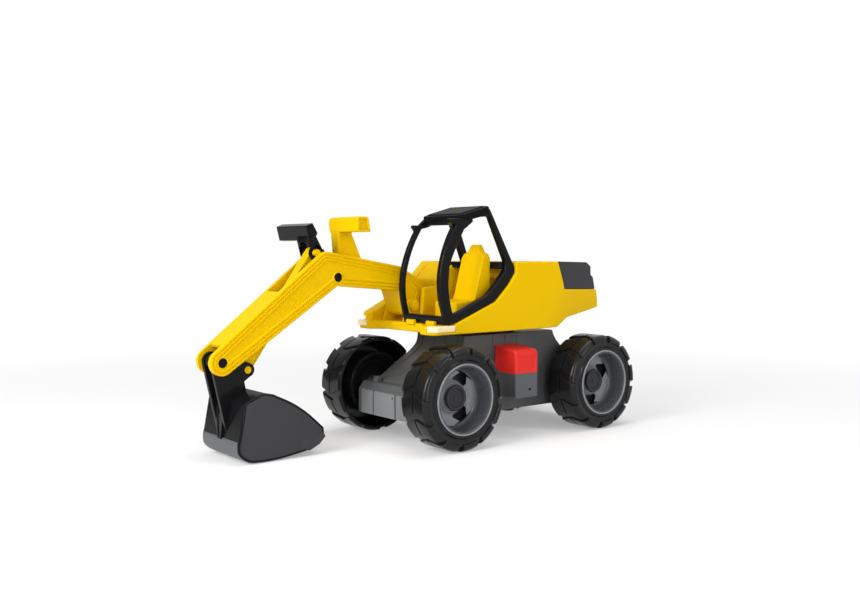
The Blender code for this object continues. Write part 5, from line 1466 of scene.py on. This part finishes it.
@dataclass
class Cab:
    """The black cab frame of two unlike sides and cross bars, its roof, and the yellow seat."""

    left: float = 101
    right: float = CAB_RIGHT
    thickness: float = 11
    right_thickness: float = 8
    lean_left: float = -0.032
    lean_right: float = 0.05
    base: float = 189.3
    front_foot: float = -157
    bow: tuple[Point, ...] = (
        (-141, 339), (-154, 315.5), (-163, 292), (-168.6, 268), (-169.8, 246), (-167, 224)
    )
    roof_front: Point = (-125, 354.5)
    roof_rear: Point = (-64, 371)
    rear_corner: Point = (-14, 271)
    pillar_right: float = 10
    header: float = 13
    seat_centre: float = 48

    def build(self) -> None:
        """Make the frame, the roof and the seat."""
        self.frame().piece("cab_frame_moulding", "upper_body", BLACK, "cab_frame")
        self.roof().piece("cab_roof_moulding", "upper_body", ROOF, "cab_roof")
        self.seat().piece("seat_moulding", "upper_body", YELLOW, "seat")

    def front_line(self) -> list[Point]:
        """The bulging front edge, from the roof down to the foot."""
        return smooth((self.roof_front, *self.bow, (self.front_foot, self.base)), 4)

    def frame(self) -> Shape:
        """Both sides and the bars between them.

        Returns:
            The frame.
        """
        frame = self.left_side()
        frame.add(self.right_side())
        front, rear = self.roof_front, self.roof_rear
        bars = [(self.front_foot - 2, self.base + 1, 13), (front[0] + 1, front[1] - 10, 8)]
        bars += [(rear[0] - 14, rear[1] - 13, 7), (self.rear_corner[0] - 31, 274.5, 12)]
        for y, low, height in bars:
            rise = low + height / 2 - self.base
            ends = (self.right + 4 + self.lean_right * rise, self.left - 5.5 + self.lean_left * rise)
            frame.add(Shape.block((ends[0], y, low), (ends[1], y + 13, low + height)).bevel(2.4, 3))
        corner = Shape.block((self.right - 9, -56, 275.5), (self.right + 16, -36, 286)).bevel(2.4, 3)
        return frame.add(corner)

    def left_side(self) -> Shape:
        """The left side: a closed frame with rounded pillars round a window.

        Returns:
            The side.
        """
        foot = [(self.front_foot + 5, self.base), (-136.7, 193.2), (-58, 222.4), (-28.8, 248.6)]
        corner = arc((-20.2, 272.4), 9.4, -16, 24, 4)
        outline = self.front_line() + foot + corner + arc((-69.4, 364.4), 8.2, 26, 102, 6)
        window = [(-66.5, 358.6), (-81, 357.6), (-99, 354), (-108, 346), (-118, 336.6)]
        window += smooth([(-130, 317.6), (-145.6, 287.3), (-150.4, 263), (-150.9, 241.4), (-147.7, 219.7)], 5)
        window += [(-144.4, 207.4), (-138, 208.4), (-75.7, 233.4), (-63.5, 243.5), (-38.6, 268.4)]
        window += [(-33, 276), (-33.5, 288)]
        side = Shape.plate(View.SIDE, outline, self.left - self.thickness, self.left, window)
        side.bevel(3.2, 4, 45)
        lump = [(-147, 353.5), (-103, 356.5), (-100, 350), (-116, 339), (-124, 337), (-136, 344), (-147, 347)]
        side.add(Shape.plate(View.SIDE, lump, self.left - 10, self.left + 0.6).bevel(1.8, 3))
        return side.moved(leaning(0, self.lean_left, self.base))

    def right_side(self) -> Shape:
        """The right side: a thin front pillar, the roof edge and a rear pillar.

        Returns:
            The side.
        """
        pillar = ((self.front_foot, self.base), *reversed(self.bow))
        inner = smooth([(y + self.pillar_right, z) for y, z in pillar], 4)
        front, rear = self.roof_front, self.roof_rear
        outline = self.front_line() + inner + [(front[0] + 6.5, front[1] - self.header)]
        outline += [(rear[0] - 12, rear[1] - self.header), (-38, 276), (-22, 276), rear]
        side = Shape.plate(View.SIDE, outline, self.right, self.right + self.right_thickness)
        side.bevel(2.2, 3, 45)
        side.add(self.knuckle(self.right + 0.8, self.right + 7.2))
        return side.moved(leaning(0, self.lean_right, self.base))

    def knuckle(self, low: float, high: float) -> Shape:
        """A small knuckle in front of a pillar, under the roof."""
        line = arc((-146.5, 342), 3, 70, 260, 14) + [(-142, 332), (-134, 345)]
        return Shape.plate(View.SIDE, line, low, high).bevel(1.2, 2, 40)

    def roof(self) -> Shape:
        """The roof plate with rounded corners and a raised plain panel.

        Returns:
            The roof.
        """
        run = Run(self.roof_front, self.roof_rear)
        low, high, front, rear, round_off = -2.6, 96.7, -2.5, run.length + 1.5, 10
        left, right, back, ahead = high - round_off, low + round_off, rear - round_off, front + round_off
        plan = []
        for quarter, middle in enumerate(((left, back), (right, back), (right, ahead), (left, ahead))):
            plan += arc(middle, round_off, 90 * quarter, 90 * quarter + 90, 6)
        plate = Shape.plate(View.TOP, plan, -7.5, 5).bevel(3.2, 4, 45).panel((0, 0, 1), 4.2, 1.2, 1.6, 0.999)
        along, start = run.along, run.start
        tilt = [(1, 0, 0, 0), (0, along.x, -along.y, start.x), (0, along.y, along.x, start.y), (0, 0, 0, 1)]
        return plate.moved(Matrix(tilt))

    def seat(self) -> Shape:
        """The seat: a cushion, a raked back and a narrow headrest over stepped shoulders.

        Returns:
            The seat.
        """
        base = self.base + 4.3
        side = [(-118, base), (-118, 222), (-80, 225), (-56, 314), (-47.5, 314), (-45.5, 299), (-45.5, base)]
        face = [(27, base - 6), (27, 292), (23.5, 299), (15, 302), (11.5, 310), (8.5, 315)]
        face = [(self.seat_centre + x, z) for x, z in face + flipped(reversed(face), -1)]
        seat = Shape.plate(View.SIDE, side, self.seat_centre - 27, self.seat_centre + 27)
        seat.common(Shape.plate(View.FRONT, face, -124, -40)).cleaned()
        return seat.bevel(2.2, 3, 24)


@dataclass
class Boom:
    """The yellow goose-neck boom with its ribs, hand grip and pins."""

    centre: float = BOOM_CENTRE
    width: float = 50
    channel: float = 34
    root: Point = ROOT_PIN
    knee: Point = KNEE_PIN
    tip: Point = BUCKET_PIN
    ear: float = 19
    root_radius: float = 16.5
    belly: Point = (-163, 239.5)
    neck_top: Point = (42, 54)
    rise: float = 48
    drop: float = 11
    web: float = 4.5
    head: float = 7.3
    recess: float = 4
    bore: float = 4.8
    groove: tuple[Point, ...] = ((1.1, -1.4), (0.8, 0), (1.1, 1.4))

    def build(self) -> None:
        """Make the boom, the grip and the pins."""
        self.moulding().piece("boom_moulding", "boom_arm", YELLOW, "boom", crease=24)
        self.grip().piece("boom_grip_moulding", "boom_arm", YELLOW, "boom_grip")
        left, right = self.centre + self.width / 2, self.centre - self.width / 2
        for name, place in (("lever_pin", self.knee), ("bucket_pin", self.tip)):
            self.pin(right + 3.7, left - 3.7, place).piece(f"{name}_turned", "boom_arm", BLACK, name)
        self.pin(right - 5.5, left + 5.5, self.root).piece("boom_pin_turned", "upper_body", BLACK, "boom_pin")
        self.root_cap(left + 8.6).piece("boom_root_cap", "upper_body", YELLOW)

    def runs(self) -> tuple[Run, Run]:
        """The arm from the knee to the bucket, and the neck from the root to the knee."""
        return Run(self.knee, self.tip), Run(self.root, self.knee)

    def outline(self) -> list[Point]:
        """The goose-neck side, counterclockwise from the bucket's ear.

        Returns:
            The points of the outline.
        """
        arm, neck = self.runs()
        heading = math.degrees(math.atan2(arm.up[1], arm.up[0]))
        ear = arc(self.tip, self.ear, heading, heading + 180, 32)
        root = arc(self.root, self.root_radius, -156, -15, 28)
        belly = [arm.at(8, -self.drop), neck.at(neck.length - 4, -13), self.belly]
        top = [neck.at(-18, 34), neck.at(9, 48), neck.at(*self.neck_top)]
        return ear + belly + root + top + self.knee_corner()

    def knee_corner(self) -> list[Point]:
        """The rounded corner of the top edge over the knee.

        Returns:
            The points of the corner.
        """
        arm, neck = self.runs()
        places = (arm.at(0, self.rise), neck.at(*self.neck_top), arm.at(60, 39))
        corner, rear, front = (Vector(place) for place in places)
        start = corner + (rear - corner).normalized() * 9
        end = corner + (front - corner).normalized() * 9
        steps = [step / 6 for step in range(7)]
        return [tuple(start * (1 - t) ** 2 + corner * (2 * t * (1 - t)) + end * t * t) for t in steps]

    def channel_line(self) -> list[Point]:
        """The space between the side walls: open above the lever and below the push rod.

        Returns:
            The points of its outline.
        """
        arm, neck = self.runs()
        slope = (self.rise - self.ear) / arm.length
        far, web_end, slot_rear = 57, arm.length - 13, self.knee[0] + 15

        def under_web(along: float) -> Point:
            """A point on the inside of the arm's top web."""
            return arm.at(along, self.rise - slope * along - self.web)

        line = [arm.at(arm.length + far, far), arm.at(arm.length + far, -far), arm.at(88, -far)]
        line += [arm.at(88, -9.5), arm.at(8, -6.5), neck.at(neck.length - 4, -8.5), neck.at(43, 23.5)]
        line += [neck.at(30, 23.5), neck.at(30, 45), neck.at(42, 48.6)]
        crown = self.crown(slot_rear)
        line += [(slot_rear, crown - self.web), (slot_rear, crown + 2 * far), arm.at(97, self.rise + far)]
        return line + [under_web(97), under_web(web_end), arm.at(web_end, far)]

    def moulding(self) -> Shape:
        """The boom: a thick plate with stepped sides, hollowed from above and below, with its bores.

        Returns:
            The boom.
        """
        left, right = self.centre + self.width / 2, self.centre - self.width / 2
        boom = Shape.plate(View.SIDE, self.outline(), right, left)
        boom.bevel(1.5, 3, 45)
        for way in BOTH_SIDES:
            faces = boom.flats(way, 0.999)
            for width, depth in ((1.6, 0), *self.groove, (2.1, 0), *self.groove, (2.1, 0), (1.1, -1.4)):
                boom.inset(faces, width, depth)
        half = self.channel / 2
        boom.cut(Shape.plate(View.SIDE, self.channel_line(), self.centre - half, self.centre + half))
        for place, collar in ((self.knee, 9.2), (self.tip, 10.2)):
            for end, way in ((left, -1), (right, 1)):
                ring = [(end + way * 0.4, collar - 0.8), (end + way * 1.2, collar), (end + way * 6, collar)]
                ring += [(end + way * 6, 2), (end + way * 0.4, 2)]
                boom.join(Shape.spun(ring, SMALL_ROUND).shifted(0, *place))
                sink = (end + way * self.recess, end - way * 9)
                boom.cut(Shape.cross_bar(self.head, *sink, place, SMALL_ROUND))
            boom.cut(Shape.cross_bar(self.bore, right - 9, left + 9, place, 40))
        boom.cut(Shape.cross_bar(self.bore, right - 9, left + 9, self.root, 40))
        return boom

    def pin(self, low: float, high: float, place: Point) -> Shape:
        """A pivot pin with a dished, chamfered head at each end.

        Args:
            low: Where the shank starts.
            high: Where it ends.
            place: Side view place of the pin.

        Returns:
            The pin.
        """
        half = [(low - 1, 0), (low - 1, 4.2), (low - 1.4, 4.8), (low - 2.6, 5.2), (low - 3, 5.7)]
        half += [(low - 2.8, 6.6), (low - 2.2, 7), (low, 7), (low, 4.5)]
        profile = half + [(low + high - along, radius) for along, radius in reversed(half)]
        return Shape.spun(profile, SMALL_ROUND, closed=False).shifted(0, *place)

    def root_cap(self, face: float) -> Shape:
        """The domed cap over the left end of the root pin, which ends at a face.

        Args:
            face: Where the pin ends.

        Returns:
            The cap.
        """
        profile = [(face + 1.4, 0), (face + 1.2, 4), (face + 0.6, 7), (face - 0.6, 9), (face - 3.2, 9.6)]
        profile += [(face - 3.2, 7.3), (face + 0.1, 7.3), (face + 0.1, 0)]
        return Shape.spun(profile, SMALL_ROUND, closed=False).shifted(0, *self.root)

    def crown(self, y: float) -> float:
        """Height of the boom's top edge between knee and neck.

        Args:
            y: Place along the machine.

        Returns:
            The height.
        """
        arm, neck = self.runs()
        front, rear = arm.at(0, self.rise), neck.at(*self.neck_top)
        return front[1] + (rear[1] - front[1]) * (y - front[0]) / (rear[0] - front[0])

    def grip(self) -> Shape:
        """The fixed hand grip: a flared stem that turns into a bar to the left with a sunk end.

        Returns:
            The grip.
        """
        front, rear = self.knee[0] + 11, self.knee[0] + 55
        low, bar_low, bar_top, far, end = 290, 333, 356.5, -61.5, 21
        turn = arc((far + 9, bar_top - 9), 9, 180, 90, 8)
        face = [(far + 11, low), *turn, (end, bar_top), (end, bar_low), (-32, bar_low)]
        face += [(-34, bar_low - 2), (-34, low)]
        grip = Shape.plate(View.FRONT, face, -290, -210)
        side = [(front, self.crown(front) + 0.3), (rear, self.crown(rear) + 0.3), (-243.5, bar_low + 3)]
        side += arc((-250.5, bar_top - 4), 4, 0, 90, 5) + arc((-264, bar_top - 4), 4, 90, 180, 5)
        side += [(-268, bar_low + 3), (-266, bar_low - 2)]
        grip.common(Shape.plate(View.SIDE, side, far - OVERCUT, end + OVERCUT)).cleaned()
        grip.bevel(1.7, 3, 40)
        socket = [flat for flat in grip.flats((1, 0, 0)) if flat.calc_center_median().x > end - 1]
        return grip.inset(socket, 1.4, 0).inset(socket, 0.8, -4)


@dataclass
class Linkage:
    """The black control lever on the boom's knee and the yellow push rod between lever and bucket."""

    centre: float = BOOM_CENTRE
    knee: Point = KNEE_PIN
    bucket_pin: Point = BUCKET_PIN
    lever_arm: Point = (-32, 38)
    lug_arm: Point = LUG_ARM
    curl: Point = (-44, 22)
    lever_rate: float = 0.95
    blade_half: float = 9
    blade_round: float = 8.5
    eye: float = 10.5
    washer: float = 12
    cheek_inner: float = CHEEK[0]
    cheek_outer: float = CHEEK[1]
    grip_reach: float = 58
    grip_section: tuple[Point, ...] = ((-53, 79), (-41, 83.5), (-32, 68), (-38.5, 56), (-47.5, 57))
    stem_corners: tuple[Point, ...] = ((-42.5, 31), (-49, 56), (-49, 66), (-36, 66), (-36, 54))
    skin: float = 1.6
    web_low: Point = (-49.5, 53.8)
    web_high: Point = (-43, 64)
    pin: float = 5.5

    def build(self) -> None:
        """Make the lever and the rod."""
        self.lever().piece("control_lever_moulding", "lever", BLACK, "control_lever")
        self.rod().piece("push_rod_moulding", "rod", YELLOW, "push_rod", crease=24)
        self.washers().piece("push_rod_washers", "rod", BLACK)

    def slot(self) -> list[Point]:
        """The way of the push rod's upper pin in the lever's cheeks.

        Returns:
            The outline of the slot.
        """
        points: list[Point] = []
        steps = 12
        for step in range(steps + 1):
            angle = math.radians(self.curl[0] + (self.curl[1] - self.curl[0]) * step / steps)
            lug = turned(self.lug_arm, angle)
            moved = plus(self.lever_arm, (lug[0] - self.lug_arm[0], lug[1] - self.lug_arm[1]))
            place = plus(self.knee, turned(moved, self.lever_rate * angle))
            points += ring(place, self.pin + 0.3)
        return hull(points)

    def lever(self) -> Shape:
        """The lever: two slotted cheeks under a front web, and a five-sided grip to the right.

        Returns:
            The lever.
        """
        knee, top = self.knee, plus(self.knee, self.lever_arm)
        reach = self.centre - self.cheek_outer - self.grip_reach
        section = [plus(knee, corner) for corner in self.grip_section]
        bar = Shape.plate(View.SIDE, section, reach, self.centre + self.cheek_outer + 1)
        for way in BOTH_SIDES:
            bar.panel(way, 2.4, 0.7, -0.9)
        bar.bevel(1.2, 3, 40)
        eye = ring(top, self.eye)
        stem = hull([plus(knee, corner) for corner in self.stem_corners] + eye)
        for low, high in ((self.cheek_inner, self.cheek_outer), (-self.cheek_outer, -self.cheek_inner)):
            ends = (self.centre + low, self.centre + high)
            cheek = Shape.plate(View.SIDE, hull(ring(knee, 8.2) + eye), *ends)
            cheek.join(Shape.plate(View.SIDE, stem, *ends)).cleaned()
            cheek.bevel(1, 3, 60)
            limits = (ends[0] - OVERCUT, ends[1] + OVERCUT)
            cheek.cut(Shape.plate(View.SIDE, self.slot(), *limits), Shape.cross_bar(4.8, *limits, knee, 32))
            bar.add(cheek)
        far = self.centre - self.cheek_outer
        skin = Shape.plate(View.SIDE, hull(ring(knee, 7.6) + eye), far, far + self.skin)
        bar.add(skin, Shape.plate(View.SIDE, stem, far, far + self.skin))
        low, high, half = plus(knee, self.web_low), plus(knee, self.web_high), self.cheek_inner + 3
        web = Shape.block((self.centre - half, *low), (self.centre + half, *high))
        return bar.add(web.bevel(0.8, 2))

    def washers(self) -> Shape:
        """The two thin washers on the rod's upper pin, between the rod and the lever's cheeks.

        Returns:
            The washers.
        """
        place = plus(self.knee, self.lever_arm)
        both = Shape()
        for side in (1, -1):
            near = self.centre + side * (self.blade_half + 0.05)
            far = self.centre + side * (self.cheek_inner - 0.05)
            profile = [(near, self.pin), (near, self.washer), (far, self.washer + 0.2), (far, self.pin)]
            both.add(Shape.spun(profile, 40).shifted(0, *place))
        return both

    def rod(self) -> Shape:
        """The push rod: a blade with sunk sides and a moulded pin through each end.

        Returns:
            The rod with its pins.
        """
        top, low = plus(self.knee, self.lever_arm), plus(self.bucket_pin, self.lug_arm)
        ends = (self.centre - self.blade_half, self.centre + self.blade_half)
        rod = Shape.plate(View.SIDE, belt(low, top, self.blade_round), *ends).bevel(1.2, 3, 60)
        for way in BOTH_SIDES:
            rod.panel(way, 1.4, 0.5, -0.8, 0.999)
        for place, short in ((top, self.skin + 0.2), (low, 0)):
            far = self.centre - self.cheek_outer + short
            pin = Shape.cross_bar(self.pin, far, self.centre + self.cheek_outer, place, 40)
            pin.bevel(0.8, 2, 60)
            for way in BOTH_SIDES:
                pin.panel(way, 1.3, 0.4, -0.5)
            rod.add(pin)
        return rod


@dataclass
class Bucket:
    """The charcoal bucket: a deep shell, the lug that carries it, a gusset and five teeth."""

    pin: Point = BUCKET_PIN
    centre: float = BOOM_CENTRE
    width: float = 118
    wall: float = 4
    lug_arm: Point = LUG_ARM
    crown: Point = (47, -43)
    back_top: Point = (17, -55)
    spine: Point = (7.4, -107)
    cheek_inner: float = CHEEK[0]
    cheek_outer: float = CHEEK[1]
    pin_radius: float = 14
    pin_bore: float = 4.8
    pin_boss: float = 12
    lug_radius: float = 10.5
    lug_bore: float = 5.9
    panel_rim: float = 3.5
    panel_depth: float = 1.2
    gusset_foot: float = 31
    gusset_lean: float = 0.045
    teeth: int = 5
    tooth_pitch: float = 26.2
    tooth_width: float = 13

    def build(self) -> None:
        """Make the shell, its grained sides, its scuffed sole painted lighter as a painted reflection of the
        floor, and its teeth.
        """
        self.moulding().piece("bucket_moulding", "bucket_body", SHELL, "bucket", crease=26)
        for name, side in (("left", 1), ("right", -1)):
            self.side_panel(side).piece(f"bucket_{name}_panel", "bucket_body", CHARCOAL)
        self.sole().piece("bucket_sole", "bucket_body", SOLE_PAINTED_REFLECTION)
        teeth = Shape()
        for count in range(self.teeth):
            teeth.add(self.tooth(self.centre + 0.4 + (count - (self.teeth - 1) / 2) * self.tooth_pitch))
        teeth.piece("bucket_teeth", "bucket_body", CHARCOAL)

    def placed(self, *points: Point) -> list[Point]:
        """Side view points given from the bucket's pin."""
        return [plus(self.pin, point) for point in points]

    def shell_line(self) -> list[Point]:
        """The back, heel and sole of the shell from its crown to its lip, with a step low on the back.

        Returns:
            The points of the line.
        """
        heel = [(5.4, -113.5), (6.4, -127), (16.4, -137.2), (32, -142.6), (72, -142.4), (120, -135.6)]
        heel += [(139, -128), (149, -118)]
        return self.placed(self.crown, self.back_top, self.spine, *smooth(heel, 5))

    def rim_line(self) -> list[Point]:
        """The curved upper edge of the side plates, from the lip to the crown."""
        return self.placed(*smooth([(147, -104), (121, -80.5), (95, -62.5), (63, -46.6)], 6))

    def moulding(self) -> Shape:
        """The shell with all that stands on it.

        Returns:
            The shell.
        """
        half = self.width / 2
        low, high = self.centre - half, self.centre + half
        bucket = Shape.plate(View.SIDE, self.shell_line() + self.rim_line(), low, high)
        bucket.bevel(2.6, 3, 45)
        for way in BOTH_SIDES:
            bucket.panel(way, 0.4, 0.2, -0.9, 0.999)
        bucket.cut(self.cavity(low + self.wall, high - self.wall))
        for side in (1, -1):
            bucket.add(self.cheek(side))
        boss = self.cheek_outer - 1
        bucket.add(self.boss(self.centre - boss, self.centre + boss))
        bucket.add(self.gusset())
        return bucket

    def side_panel(self, side: int) -> Shape:
        """The grained panel set into one side plate.

        Args:
            side: 1 for the left side, -1 for the right one.

        Returns:
            The panel.
        """
        line = self.shell_line() + self.rim_line()
        outside = self.centre + side * (self.width / 2 - 0.2)
        ends = sorted((outside, outside - side * self.panel_depth))
        panel = Shape.plate(View.SIDE, line, *ends)
        flat = panel.flats((side, 0, 0))
        panel.inset(flat, self.panel_rim, 0)
        waste = [face for face in panel.work.faces if face not in flat]
        bmesh.ops.delete(panel.work, geom=waste, context="FACES")
        depth = Vector((-side * self.panel_depth, 0, 0))
        made = bmesh.ops.extrude_face_region(panel.work, geom=list(panel.work.faces))
        sunk = [item for item in made["geom"] if isinstance(item, bmesh.types.BMVert)]
        bmesh.ops.translate(panel.work, verts=sunk, vec=depth)
        return panel.facing_out().bevel(0.3, 2, 60)

    def sole(self) -> Shape:
        """The strip round the heel, from the step on the back to the front of the sole, painted lighter grey
        as a painted reflection of the floor, with scuffed roughness as wear.

        Returns:
            The strip.
        """
        line = [(6.6, -110), (5, -113.6), (5.9, -127), (16, -137.7), (31.8, -143.1), (72, -142.9)]
        outer = self.placed(*smooth([*line, (118, -136.6)], 5))
        strip = outer + list(reversed(offset(outer, 2.2)))
        half = self.width / 2 - 2.8
        return Shape.plate(View.SIDE, strip, self.centre - half, self.centre + half).bevel(0.4, 2, 60)

    def cavity(self, low: float, high: float) -> Shape:
        """The space inside the shell, open through its mouth.

        Args:
            low: Its right face.
            high: Its left face.

        Returns:
            The cutter.
        """
        inside = offset(self.shell_line(), self.wall)
        away = 60
        mouth = [plus(inside[-1], (away, away / 2)), plus(inside[-1], (away / 2, 2 * away))]
        return Shape.plate(View.SIDE, inside + mouth + [plus(inside[0], (away / 3, away))], low, high)

    def cheek(self, side: int) -> Shape:
        """One cheek of the lug, with the bores of the two pins.

        Args:
            side: 1 for the left cheek, -1 for the right one.

        Returns:
            The cheek.
        """
        lug = plus(self.pin, self.lug_arm)
        spine, back, crown = self.placed(self.spine, self.back_top, self.crown)
        line = arc(self.pin, self.pin_radius, 60, 190, 18)
        line += [plus(spine, (2, 0)), plus(back, (2, -2)), plus(crown, (-6, -2)), plus(lug, (-6, -16.5))]
        line += arc(lug, self.lug_radius, -70, 80, 18)
        ends = sorted((self.centre + side * self.cheek_inner, self.centre + side * self.cheek_outer))
        cheek = Shape.plate(View.SIDE, line, *ends).bevel(0.9, 2, 60)
        limits = (ends[0] - OVERCUT, ends[1] + OVERCUT)
        lug_hole = Shape.cross_bar(self.lug_bore, *limits, lug, 36)
        return cheek.cut(lug_hole, Shape.cross_bar(self.pin_bore, *limits, self.pin, 32))

    def boss(self, low: float, high: float) -> Shape:
        """The tube round the bucket's pin between the cheeks.

        Args:
            low: Its right end.
            high: Its left end.

        Returns:
            The tube.
        """
        bore, outside = self.pin_bore, self.pin_boss
        profile = [(low, bore), (low, outside), (high, outside), (high, bore)]
        return Shape.spun(profile, 40).shifted(0, *self.pin)

    def gusset(self) -> Shape:
        """The tapered rib down the back, with a sunk front.

        Returns:
            The rib.
        """
        foot = self.gusset_foot
        face = [(-58.6, 101), (-25.4, 101), (-35.5, foot), (-48.5, foot)]
        gusset = Shape.plate(View.FRONT, face, -470.5, -452)
        gusset.moved(leaning(1, self.gusset_lean, foot)).bevel(1, 2)
        return gusset.panel((0, -1, 0), 2.2, 0.8, -1.6, 0.98)

    def tooth(self, x: float) -> Shape:
        """One tooth that wraps the lip.

        Args:
            x: Middle of the tooth.

        Returns:
            The tooth.
        """
        line = self.placed((110, -131), (110, -117), (122, -118), (136, -116), (146, -110), (150, -118))
        line += self.placed((139, -129), (122, -136.6))
        half = self.tooth_width / 2
        return Shape.plate(View.SIDE, line, x - half, x + half).bevel(1.2, 2, 20)


def dress_nodes(nodes: dict[str, bpy.types.Object], record: dict) -> None:
    """Give the CAD nodes that stay on show the finish of their slot.

    Args:
        nodes: The CAD nodes by name.
        record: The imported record.
    """
    finishes = {finish.slot: finish for finish in (YELLOW, BLACK, TYRE, GREY, CHARCOAL, RED, CREAM, STEEL)}
    for part in record["subparts"]:
        mesh = nodes[part["node"]].data
        mesh.materials.clear()
        mesh.materials.append(finishes[part["material_slot"]].material())
        LOG.info("%s: CAD node in %s", part["node"], part["material_slot"])


def main() -> None:
    """Build the studio and every sub-assembly."""
    logging.basicConfig(level=logging.INFO, format="%(message)s")
    for leftover in list(bpy.data.objects):
        bpy.data.objects.remove(leftover)
    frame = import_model()
    Studio().build()
    dress_nodes(frame["nodes"], frame["record"])
    for end in ("front", "rear"):
        for side in ("left", "right"):
            turn = 0 if end == "front" else (-30 if side == "left" else 30)
            Wheel(end, side, turn).build()
    Undercarriage().build()
    UpperBody().build()
    Cab().build()
    Boom().build()
    Linkage().build()
    Bucket().build()


if __name__ == "__main__":
    main()
